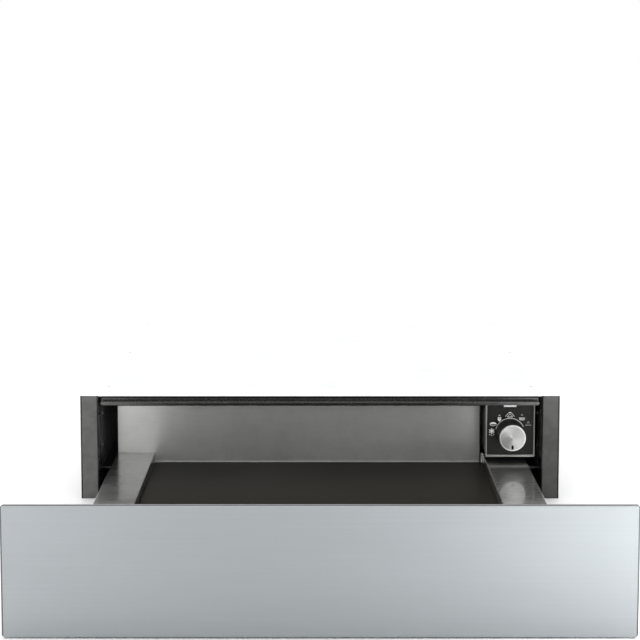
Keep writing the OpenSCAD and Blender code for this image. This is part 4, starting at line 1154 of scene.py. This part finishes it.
def stroke(points, width, closed=False):
    """A line of the given width through points, as short overlapping quads."""
    overlap = 0.18
    shapes = []
    for (ax, az), (bx, bz) in zip(points, points[1:] + (points[:1] if closed else [])):
        d = Vector((bx - ax, bz - az))
        if d.length < 1e-9:
            continue
        n = Vector((-d.y, d.x)).normalized() * width / 2
        e = d.normalized() * width * overlap
        corners = [(ax - e.x, az - e.y, 1), (bx + e.x, bz + e.y, 1)]
        corners += [(px, pz, -1) for px, pz, _ in reversed(corners)]
        shapes.append([(px + side * n.x, pz + side * n.y) for px, pz, side in corners])
    return shapes


def blob(cx, cz, rx, rz, start=0.0, end=360.0, steps=16):
    """A filled ellipse, or the part of it between two angles."""
    count = steps if end - start >= 360.0 else steps + 1
    angles = [math.radians(start + (end - start) * k / steps) for k in range(count)]
    return [(cx + rx * math.cos(a), cz + rz * math.sin(a)) for a in angles]


def slab(top, half_top, foot, half_foot):
    """A bar or bowl's side view about the middle line, its ends at half_top and half_foot."""
    return [(-half_top, top), (-half_foot, foot), (half_foot, foot), (half_top, top)]


def roof(half, foot, top, width, closed=False):
    """Two lines that meet over the middle: rising heat."""
    return stroke([(-half, foot), (0.0, top), (half, foot)], width, closed)


def frost():
    """A frost star with drops: thawing."""
    made = []
    for a in (0, 60, 120):
        dx, dz = math.sin(math.radians(a)), math.cos(math.radians(a))
        made += stroke([(-3.4 * dx, -3.4 * dz), (3.4 * dx, 3.4 * dz)], 0.8)
        for side in (-1, 1):
            for b in (-60, 60):
                bx, bz = math.sin(math.radians(a + b)), math.cos(math.radians(a + b))
                px, pz = side * 2.1 * dx, side * 2.1 * dz
                made += stroke([(px, pz), (px + side * 1.2 * bx, pz + side * 1.2 * bz)], 0.45)
    return made + [blob(dx, dz, 0.5, 0.6) for dx, dz in ((-2.4, -4.4), (0.0, -5.4), (2.4, -4.4))]


def loaf():
    """A loaf: dough rising."""
    return [blob(0.0, 0.0, 4.2, 2.5, 0, 180, 20)] + stroke(blob(0.0, -0.3, 4.0, 1.7, 180, 360, 12), 0.45)


def cup():
    """A cup with steam: warming cups."""
    bowl = [(-2.1, 1.1), (-2.1, -1.0), (0.0, -2.9), (2.1, -1.0), (2.1, 1.1)]
    return [slab(2.6, 2.1, 1.5, 2.1), bowl] + roof(1.1, 4.2, 5.6, 0.45)


def dish():
    """A covered dish: keeping food warm."""
    made = stroke([(-5.6, -0.6), (-2.0, 4.0), (2.0, 4.0), (5.6, -0.6)], 0.55)
    made.append(blob(0.0, 4.6, 1.5, 0.6))
    made += stroke([(-3.4, -1.1), (3.4, -1.1)], 0.8)
    made += stroke(blob(0.0, 0.4, 1.9, 1.7, 0, 180, 10), 0.5)
    made += stroke([(-3.0, 0.6), (-2.3, -0.6)], 0.5)
    return made + stroke([(3.0, 0.6), (2.3, -0.6)], 0.5)


def plates():
    """Stacked plates: warming plates."""
    made = [slab(1.6, 3.7, 0.5, 3.7), slab(0.2, 3.7, -0.7, 3.5), slab(-1.0, 3.3, -1.9, 2.6)]
    return made + roof(1.4, 4.0, 5.5, 0.35)


def slow_plate():
    """A plate with heat above it: slow cooking."""
    return stroke([(-3.4, -1.2), (3.4, -1.2)], 0.6) + roof(1.6, 1.4, 3.6, 0.35, True)


# each symbol of the scale and its place in millimetres from the dial's axis
SYMBOLS = (
    (frost, -22.7, 1.4),
    (loaf, -21.0, 10.2),
    (cup, -13.3, 16.4),
    (dish, -0.2, 20.4),
    (plates, 14.8, 17.0),
    (slow_plate, 22.6, 10.2),
)
# the scale's arc: its ends in degrees, its pieces and the share of it over which it grows thicker
ARC_FROM, ARC_TO, ARC_STEPS, ARC_SWELLS = 166, 25, 60, 0.625
# the other pieces of the control unit and the wiring, with the rounds on their edges in millimetres
SMALL_ROUNDS = {
    "control_fascia": 0.2,
    "pilot_lens": 0.4,
    "thermostat": 0.6,
    "terminal_block": 0.6,
    "cable_gland": 0.7,
    "latch_body": 0.6,
    "latch_plunger": 0.5,
    "lead_connector": 0.6,
    "thermal_cutout": 0.5,
    "pilot_lamp": 0.8,
}


def printed_scale(c):
    """The scale's arc and symbols, printed on the fascia round the dial."""
    _, _, x, z = middle("dial_face")
    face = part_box("control_fascia")[0].y
    points, faces = [], []

    def add(outline, lift):
        """Adds a printed shape; lift keeps shapes that overlap apart."""
        base = len(points)
        more, sides = prism(outline, face - c.print_height - lift, face + 0.00005)
        points.extend(more)
        faces.extend(tuple(base + i for i in side) for side in sides)

    def arc_edge(k):
        """The arc's outer and inner point after k steps."""
        share = k / ARC_STEPS
        a = math.radians(ARC_FROM - (ARC_FROM - ARC_TO) * share)
        w = c.arc_thin + (c.arc_thick - c.arc_thin) * min(1.0, share / ARC_SWELLS)
        radii = (c.arc_radius + w / 2, c.arc_radius - w / 2)
        return [(x + r * math.cos(a), z + r * math.sin(a)) for r in radii]

    for k in range(ARC_STEPS):
        (out0, in0), (out1, in1) = arc_edge(k), arc_edge(k + 1)
        add([out0, out1, in1, in0], 0.0)
    outlines = []
    for draw, cx, cz in SYMBOLS:
        outlines += [[(cx + px, cz + pz) for px, pz in outline] for outline in draw()]
    for i, outline in enumerate(outlines):
        add([(x + px * MM, z + pz * MM + c.symbol_lift) for px, pz in outline], 2e-7 * i)
    mesh = solid("scale_marks", points, faces, merged=False)
    place("scale_marks", mesh, "scale_print", "root")


class DRAWER_OT_controls(bpy.types.Operator):
    """Builds the bezel, the fascia with its printed scale, the pilot lens and what is behind them"""

    bl_idname = "drawer.controls"
    bl_label = "Control Unit"

    def execute(self, context):
        c = chosen("drawer_controls")
        softened("control_bezel", c.bezel_round)
        for node, width in SMALL_ROUNDS.items():
            softened(node, width * MM)
        printed_scale(c)
        return {"FINISHED"}


# ---- what repeats, made with Geometry Nodes ----


def geometry_tree(name, inputs):
    """A Geometry Nodes tree that takes and gives one mesh, with named inputs."""
    mesh = ("Geometry", "Geometry")
    return new_group(name, "GeometryNodeTree", [mesh] + inputs + [("Finish", "Material")], [mesh])


def end_tree(n, given, leave, made):
    """Ends a tree: makes its instances real and gives them their finish."""
    real = n.put("GeometryNodeRealizeInstances", {0: made}).outputs[0]
    done = n.put("GeometryNodeSetMaterial", {"Geometry": real, "Material": given["Finish"]})
    n.tree.links.new(done.outputs[0], leave.inputs[0])
    return n.tree


def screws_tree():
    """Sets a screw on each point, turned by the point's own rotation."""
    n, given, leave = geometry_tree("Set Screws", [("Screw", "Object"), ("Size", "Float", 1.0)])
    model = n.put("GeometryNodeObjectInfo", {"Object": given["Screw"]}).outputs["Geometry"]
    turn = n.put("GeometryNodeInputNamedAttribute", {"Name": "turned"}, data_type="FLOAT_VECTOR")
    rotation = n.put("FunctionNodeEulerToRotation", {0: turn.outputs[0]}).outputs[0]
    values = {"Points": given["Geometry"], "Instance": model, "Rotation": rotation, "Scale": given["Size"]}
    return end_tree(n, given, leave, n.put("GeometryNodeInstanceOnPoints", values).outputs[0])


def ribs_tree():
    """Rings along a line: the ribs of a wire loom, its length, pitch and sizes given."""
    inputs = [("Start", "Vector"), ("Count", "Int", 10), ("Pitch", "Float", 0.0045)]
    inputs += [("Radius", "Float", 0.003), ("Rib", "Float", 0.0018)]
    n, given, leave = geometry_tree("Loom Ribs", inputs)
    step = n.put("ShaderNodeCombineXYZ", {1: given["Pitch"]}).outputs[0]
    values = {"Count": given["Count"], "Start Location": given["Start"], "Offset": step}
    line = n.put("GeometryNodeMeshLine", values).outputs[0]
    thick = n.times(given["Rib"], 0.25)
    middle_radius = n.maths("SUBTRACT", given["Radius"], thick)
    circle = "GeometryNodeCurvePrimitiveCircle"
    ring = n.put(circle, {"Resolution": 20, "Radius": middle_radius}).outputs[0]
    section = n.put(circle, {"Resolution": 6, "Radius": thick}).outputs[0]
    swept = n.put("GeometryNodeCurveToMesh", {"Curve": ring, "Profile Curve": section}).outputs[0]
    turn = n.put("FunctionNodeEulerToRotation", {0: (math.pi / 2, 0.0, 0.0)}).outputs[0]
    values = {"Points": line, "Instance": swept, "Rotation": turn}
    placed = n.put("GeometryNodeInstanceOnPoints", values).outputs[0]
    joined = n.put("GeometryNodeJoinGeometry")
    n.tree.links.new(placed, joined.inputs[0])
    n.tree.links.new(given["Geometry"], joined.inputs[0])
    return end_tree(n, given, leave, joined.outputs[0])


def grown(mesh, tree, values):
    """The plain mesh that a Geometry Nodes tree makes from a mesh."""
    settings = {"node_group": tree}
    for item in tree.interface.items_tree:
        if item.item_type == "SOCKET" and item.in_out == "INPUT" and item.name in values:
            settings[item.identifier] = values[item.name]
    return baked(mesh, ("NODES", settings))


def screw_mesh(head_r, head_h, shank_r, shank, sunk):
    """One screw with its head's top at the origin, its shank downwards and a cross recess."""
    pitch, crest, root, end = 0.0012, 0.0003, 0.0006, 0.0009
    if sunk:
        profile = [(0.0, 0.0), (head_r - 0.0001, 0.0), (head_r, -0.0001), (shank_r, -head_h)]
    else:
        domed = ((0.45, 0.00005), (0.72, 0.00028), (0.9, 0.0007), (1.0, head_h * 0.62), (1.0, head_h))
        profile = [(0.0, 0.0)] + [(head_r * share, -deep) for share, deep in domed] + [(shank_r, -head_h)]
    for i in range(int((shank - pitch) / pitch)):
        z = -head_h - i * pitch
        profile += [(shank_r, z - crest), (shank_r * 0.8, z - root), (shank_r, z - end)]
    profile += [(shank_r * 0.7, -head_h - shank), (0.0, -head_h - shank)]
    mesh = turned_body("screw_model", profile, lambda u, v, h: (u, v, h), 20)
    arm = (2 * head_r * 0.52, chosen("drawer_small").recess_width, 2 * head_h * 0.75, 1.0)
    cross = bmesh.new()
    for turn in (0, 90):
        made = bmesh.ops.create_cube(cross, size=1.0)["verts"]
        matrix = Matrix.Rotation(math.radians(turn), 4, "Z") @ Matrix.Diagonal(arm)
        bmesh.ops.transform(cross, matrix=matrix, verts=made)
    return smooth(carved(mesh, finished(cross, "recess"), use_self=True), 35)


SCREW_NODES = ["housing_screws", "post_screws", "drawer_screws"]
SCREW_NODES += ["slide_housing_screws", "slide_drawer_screws"]
# how far each screw's recess is turned from the one before it, and the first one's turn, in degrees
RECESS_TURN, RECESS_START = 37.0, 12.0


def screw_facing(node, low, high):
    """Which way a screw's head looks, and its kind."""
    mid = (low + high) / 2
    side = math.copysign(1, mid.x)
    if node == "housing_screws":
        in_back = high.y - low.y > high.z - low.z and mid.y > REAR_SCREWS
        return (Vector((0, 1, 0)), "pan") if in_back else (Vector((0, 0, 1)), "sunk")
    return {
        "post_screws": (Vector((-side, 0, 0)), "pan"),
        "drawer_screws": (Vector((0, 1, 0)), "pan"),
        "slide_housing_screws": (Vector((-side, 0, 0)), "sunk"),
        "slide_drawer_screws": (Vector((side, 0, 0)), "low"),
    }[node]


def screw_groups(node):
    """The tops and facings of a CAD node's screws, by kind, length and width."""
    groups = {}
    for low, high in islands(node):
        facing, kind = screw_facing(node, low, high)
        mid = (low + high) / 2
        ends = {-1: low, 0: mid, 1: high}
        top = [ends[round(facing[i])][i] for i in range(3)]
        long = round(abs((high - low).dot(facing)), 4)
        wide = round(max(high[i] - low[i] for i in range(3) if abs(facing[i]) < 0.5), 4)
        groups.setdefault((kind, long, wide), []).append((top, facing))
    return groups


def screw_spots(items):
    """Points at the screws' tops, each with the turn that makes its screw look the right way."""
    spots = bpy.data.meshes.new("spots")
    spots.from_pydata([top for top, _ in items], [], [])
    turned = spots.attributes.new("turned", "FLOAT_VECTOR", "POINT")
    for i, (_, facing) in enumerate(items):
        q = Vector((0, 0, 1)).rotation_difference(facing)
        spin = Matrix.Rotation(math.radians(RECESS_TURN * i + RECESS_START), 3, "Z")
        turned.data[i].vector = (q.to_matrix() @ spin).to_euler()
    return spots


class DRAWER_OT_screws(bpy.types.Operator):
    """Sets a screw with a cross recess in every screw's place"""

    bl_idname = "drawer.screws"
    bl_label = "Screws"

    def execute(self, context):
        tree = screws_tree()
        s = chosen("drawer_small")
        heads = {"pan": s.pan_head, "sunk": s.sunk_head, "low": s.low_head}
        for node in SCREW_NODES:
            joined = bmesh.new()
            for (kind, long, wide), items in screw_groups(node).items():
                head = heads[kind]
                mesh = screw_mesh(wide / 2, head, s.shank / 2, long - head, kind == "sunk")
                model = link("screw_model", mesh)
                values = {"Screw": model, "Finish": bpy.data.materials["screw_steel"]}
                joined.from_mesh(grown(screw_spots(items), tree, values))
                bpy.data.objects.remove(model)
            mesh = smooth(finished(joined, node + "_piece"), 35)
            stand_in(node, mesh, "screw_black" if node == "post_screws" else "screw_steel")
        return {"FINISHED"}


def wire_loom(s):
    """The ribbed wire loom, straight along Y."""
    low, high, x, z = middle("wire_loom")
    r, long = (high.x - low.x) / 2, high.y - low.y
    core = tube("loom_core", [(x, low.y + long * k / 8, z) for k in range(9)], r - s.loom_rib * 0.45, 20)
    count = int((long - s.loom_rib) / s.loom_pitch)
    spare = long - (count - 1) * s.loom_pitch
    values = {"Start": (x, low.y + spare / 2, z), "Count": count, "Pitch": s.loom_pitch, "Radius": r}
    values.update(Rib=s.loom_rib, Finish=bpy.data.materials["loom_black"])
    loom = smooth(grown(core, ribs_tree(), values), 50)
    place("loom_sleeve", loom, "loom_black", "root", ["wire_loom"])


def heater_lead():
    """The heater's lead on the CAD lead's route: down, along the floor, up in an S to the tray."""
    low, high, x, _ = middle("heater_lead")
    r, bend = (high.x - low.x) / 2, LEAD_BEND
    floor_z, rear = low.z + r, high.y - r
    entry_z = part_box("tray_underpan")[0].z + LEAD_ABOVE_PAN
    entry_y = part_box("drawer_tray")[1].y + LEAD_BEHIND_TRAY
    rise = (entry_z - floor_z) / 2 / (1 - math.cos(LEAD_LIFT))
    floor_y = entry_y + 2 * rise * math.sin(LEAD_LIFT)
    route = [(rear, high.z), (rear, high.z - LEAD_DROP)]
    for k in range(9):
        a = math.radians(-90 - 90 * k / 8)
        route.append((rear - bend - bend * math.sin(a), floor_z + bend + bend * math.cos(a)))
    run = rear - bend - floor_y
    route += [(rear - bend - run * k / 24, floor_z) for k in range(1, 24)]
    for k in range(7):
        a = -math.pi - LEAD_LIFT * k / 6
        route.append((floor_y - rise * math.sin(a), floor_z + rise + rise * math.cos(a)))
    for k in range(5, -1, -1):
        a = -math.pi - LEAD_LIFT * k / 6
        route.append((entry_y + rise * math.sin(a), entry_z - rise - rise * math.cos(a)))
    route.append((low.y, entry_z))
    lead = smooth(tube("lead_sleeve", [(x, y, z) for y, z in route], r, 14), 60)
    piece = place("lead_sleeve", lead, "lead_white", None, ["heater_lead"])
    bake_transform(piece, "root", "drawer", start=(x, rear - bend - 0.01, floor_z), end=(x, floor_y, floor_z))


def latch_coil():
    """The latch's spring, which its plunger presses together."""
    coil = smooth(finished(merged_copy("latch_spring"), "latch_coil"), 70)
    low, high, x, z = middle("latch_spring")
    piece = place("latch_coil", coil, "spring_wire", None, ["latch_spring"])
    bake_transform(piece, "plunger", "root", start=(x, low.y, z), end=(x, high.y, z))


def heating_cord(pitch):
    """The heating cord under the base: straight runs along X, joined by half circles."""
    low, high, _, z = middle("heater_cord")
    d = high.z - low.z
    runs = round((high.y - low.y - d) / pitch) + 1
    x0, x1 = low.x + d / 2 + pitch / 2, high.x - d / 2 - pitch / 2
    path = []
    for i in range(runs):
        y = low.y + d / 2 + i * pitch
        a, b, side = (x0, x1, 1) if i % 2 == 0 else (x1, x0, -1)
        path += [(a + (b - a) * k / 6, y, z) for k in range(7)]
        if i < runs - 1:
            for k in range(1, 12):
                t = math.pi * k / 12
                path.append((b + side * pitch / 2 * math.sin(t), y + pitch / 2 * (1 - math.cos(t)), z))
    cord = smooth(tube("heating_cord", path, d / 2, 12), 60)
    place("heating_cord", cord, "cord_red", "drawer", ["heater_cord"])


class DRAWER_OT_wiring(bpy.types.Operator):
    """Builds the ribbed wire loom, the heater's lead, the latch's spring and the heating cord"""

    bl_idname = "drawer.wiring"
    bl_label = "Wiring and Spring"

    def execute(self, context):
        s = chosen("drawer_small")
        wire_loom(s)
        heater_lead()
        latch_coil()
        heating_cord(s.cord_pitch)
        return {"FINISHED"}


def wool_pad(relief):
    """The wool under the heater: softer at its edges, with a hollow round the cutout."""
    low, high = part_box("insulation_pad")
    cut_low, cut_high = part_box("thermal_cutout")
    cut = (cut_low + cut_high) / 2
    cut_r = (cut_high.x - cut_low.x) / 2
    deep, thinnest, foot = high.z - low.z, 0.0008, 0.0001
    soft_edge, hollow_gap, hollow_slope, frayed = 0.009, 0.001, 0.006, 0.0008
    coarse, fine, fringe = 55, 160, 40
    nx, ny = 84, 96
    top, under = [], []
    for j in range(ny + 1):
        for i in range(nx + 1):
            x = low.x + (high.x - low.x) * (i / nx)
            y = low.y + (high.y - low.y) * (j / ny)
            edge = min(x - low.x, high.x - x, y - low.y, high.y - y)
            fall = 1 - max(0.0, 1 - edge / soft_edge) ** 2 * 0.55
            away = math.hypot(x - cut.x, y - cut.y) - cut_r - hollow_gap
            hollow = max(0.0, min(1.0, away / hollow_slope))
            wave = noise.noise(Vector((x * coarse, y * coarse, 0.3)))
            wave += 0.5 * noise.noise(Vector((x * fine, y * fine, 4.1)))
            thick = (deep - relief) * fall * (0.12 + 0.88 * hollow)
            pull = noise.noise(Vector((x * fringe, y * fringe, 7.7))) * frayed if edge < 1e-6 else 0.0
            inward = Vector((cut.x - x, cut.y - y)).normalized() * abs(pull)
            x, y = x + inward.x, y + inward.y
            top.append((x, y, low.z + min(deep, max(thinnest, thick + wave * relief))))
            under.append((x, y, low.z + foot))
    w, base = nx + 1, len(top)
    faces = []
    for j in range(ny):
        for a in range(j * w, j * w + nx):
            faces.append((a, a + 1, a + w + 1, a + w))
            faces.append((base + a, base + a + w, base + a + w + 1, base + a + 1))
    rim = list(range(nx)) + [nx + j * w for j in range(ny)]
    rim += [ny * w + nx - i for i in range(nx)] + [(ny - j) * w for j in range(ny)]
    for a, b in zip(rim, rim[1:] + rim[:1]):
        faces.append((a, base + a, base + b, b))
    mesh = solid("wool_pad", top + under, faces)
    pad = place("wool_pad", smooth(mesh, 60), "wool", "drawer", ["insulation_pad"])


def rubber_buffers(e):
    """The rubber buffers on the front's back, with a round of radius e."""
    joined = bmesh.new()
    for low, high in islands("front_buffers"):
        x, z, r = (low.x + high.x) / 2, (low.z + high.z) / 2, (high.x - low.x) / 2
        profile = [(0.0, low.y), (r, low.y), (r, high.y - e)]
        for a in (math.radians(30), math.radians(60), math.radians(90)):
            profile.append((r - e + e * math.cos(a), high.y - e + e * math.sin(a)))
        profile.append((0.0, high.y))
        joined.from_mesh(lathe("buffer", profile, x, z, 32))
    mesh = smooth(finished(joined, "rubber_buffers"), 40)
    place("rubber_buffers", mesh, "rubber_black", "drawer", ["front_buffers"])


class DRAWER_OT_soft(bpy.types.Operator):
    """Builds the wool under the heater and the rubber buffers"""

    bl_idname = "drawer.soft"
    bl_label = "Wool and Rubber"

    def execute(self, context):
        s = chosen("drawer_small")
        wool_pad(s.wool_relief)
        rubber_buffers(s.buffer_round)
        return {"FINISHED"}


# ---- floor, lights and camera ----


def floor(s):
    """The pale floor, faintly clouded."""
    half = s.floor_size / 2
    mesh = bpy.data.meshes.new("floor")
    corners = [(-half, -half, 0), (half, -half, 0), (half, half, 0), (-half, half, 0)]
    mesh.from_pydata(corners, [], [(0, 1, 2, 3)])
    f = Finish("pale_floor", Roughness=0.6)
    cloud = f.noise(f.where, 3.0)
    f.drive("Base Color", f.mixed(cloud, rgba(s.floor_colour, 0.99), rgba(s.floor_colour, 1.01)))
    mesh.materials.append(bpy.data.materials["pale_floor"])
    link("floor", mesh)


def surroundings(s):
    """The light all round: bright low and overhead, darker half way up and at the sides."""
    world = bpy.data.worlds.new("studio")
    world.use_nodes = True
    bpy.context.scene.world = world
    n = Nodes(world.node_tree)
    x, _, up = n.axes(n.put("ShaderNodeTexCoord").outputs["Generated"])
    dark = n.spread(n.maths("ABSOLUTE", x), 0.55, 0.85)
    seen = n.put("ShaderNodeLightPath").outputs["Is Camera Ray"]
    low = n.spread(up, 0.25, 0.45, s.sky_low, s.sky_middle)
    level = n.plus(low, n.spread(up, 0.65, 0.9, 0.0, s.sky_high - s.sky_middle))
    light = n.mixed(dark, level, (s.sides, s.sides, s.sides, 1.0))
    n.tree.links.new(n.mixed(seen, light, WHITE), n.tree.nodes["Background"].inputs[0])


KEY_SIZE, KEY_PLACE = (0.7, 0.5), (0.83, -1.1, 0.9)
FILL_SIZE, FILL_PLACE = (0.4, 0.4), (-0.7, -1.0, 0.8)


def lamp(name, power, sides, where):
    """A soft rectangular light that looks straight down."""
    data = bpy.data.lights.new(name, "AREA")
    data.shape = "RECTANGLE"
    data.size, data.size_y = sides
    data.energy = power
    data.spread = math.radians(70)
    made = link(name, data)
    made.location = where
    made.rotation_euler = Vector((0.0, 0.0, -where[2])).to_track_quat("-Z", "Y").to_euler()


class DRAWER_OT_stage(bpy.types.Operator):
    """Sets the pale floor, the soft lights and the camera"""

    bl_idname = "drawer.stage"
    bl_label = "Stage"

    def execute(self, context):
        scene = context.scene
        s = scene.drawer_stage
        floor(s)
        surroundings(s)
        lamp("key_light", s.key_power, KEY_SIZE, KEY_PLACE)
        lamp("side_light", s.fill_power, FILL_SIZE, FILL_PLACE)
        data = bpy.data.cameras.new("camera")
        data.lens = s.lens
        data.sensor_width = 36.0
        data.shift_y = s.shift
        data.clip_end = 200.0
        camera = link("camera", data)
        camera.location = s.camera_place
        camera.rotation_euler = (math.pi / 2 - s.camera_tilt, 0.0, 0.0)
        scene.camera = camera
        scene.view_settings.view_transform = "Standard"
        return {"FINISHED"}


# ---- panel and registration ----

GROUPS = {
    "drawer_sheets": DrawerSheetSizes,
    "drawer_controls": DrawerControlSizes,
    "drawer_small": DrawerSmallParts,
    "drawer_colours": DrawerColours,
    "drawer_stage": DrawerStage,
}
STEPS = (
    DRAWER_OT_finishes,
    DRAWER_OT_stage,
    DRAWER_OT_front,
    DRAWER_OT_frame,
    DRAWER_OT_carcass,
    DRAWER_OT_tray,
    DRAWER_OT_dial,
    DRAWER_OT_controls,
    DRAWER_OT_screws,
    DRAWER_OT_wiring,
    DRAWER_OT_soft,
)


class DRAWER_PT_panel(bpy.types.Panel):
    """Lists the drawer's pieces and their sizes"""

    bl_label = "Warming Drawer"
    bl_idname = "DRAWER_PT_panel"
    bl_space_type = "VIEW_3D"
    bl_region_type = "UI"
    bl_category = "Warming Drawer"

    def draw(self, context):
        for operator in STEPS:
            self.layout.operator(operator.bl_idname)
        for key, group in GROUPS.items():
            box = self.layout.box()
            for name in group.__annotations__:
                box.prop(getattr(context.scene, key), name)


CLASSES = (*GROUPS.values(), *STEPS, DRAWER_PT_panel)


def register():
    for one in CLASSES:
        bpy.utils.register_class(one)
    for key, group in GROUPS.items():
        setattr(bpy.types.Scene, key, PointerProperty(type=group))


def unregister():
    for key in GROUPS:
        delattr(bpy.types.Scene, key)
    for one in reversed(CLASSES):
        bpy.utils.unregister_class(one)


def main():
    register()
    for step in STEPS:
        group, name = step.bl_idname.split(".")
        getattr(getattr(bpy.ops, group), name)()


if __name__ == "__main__":
    main()
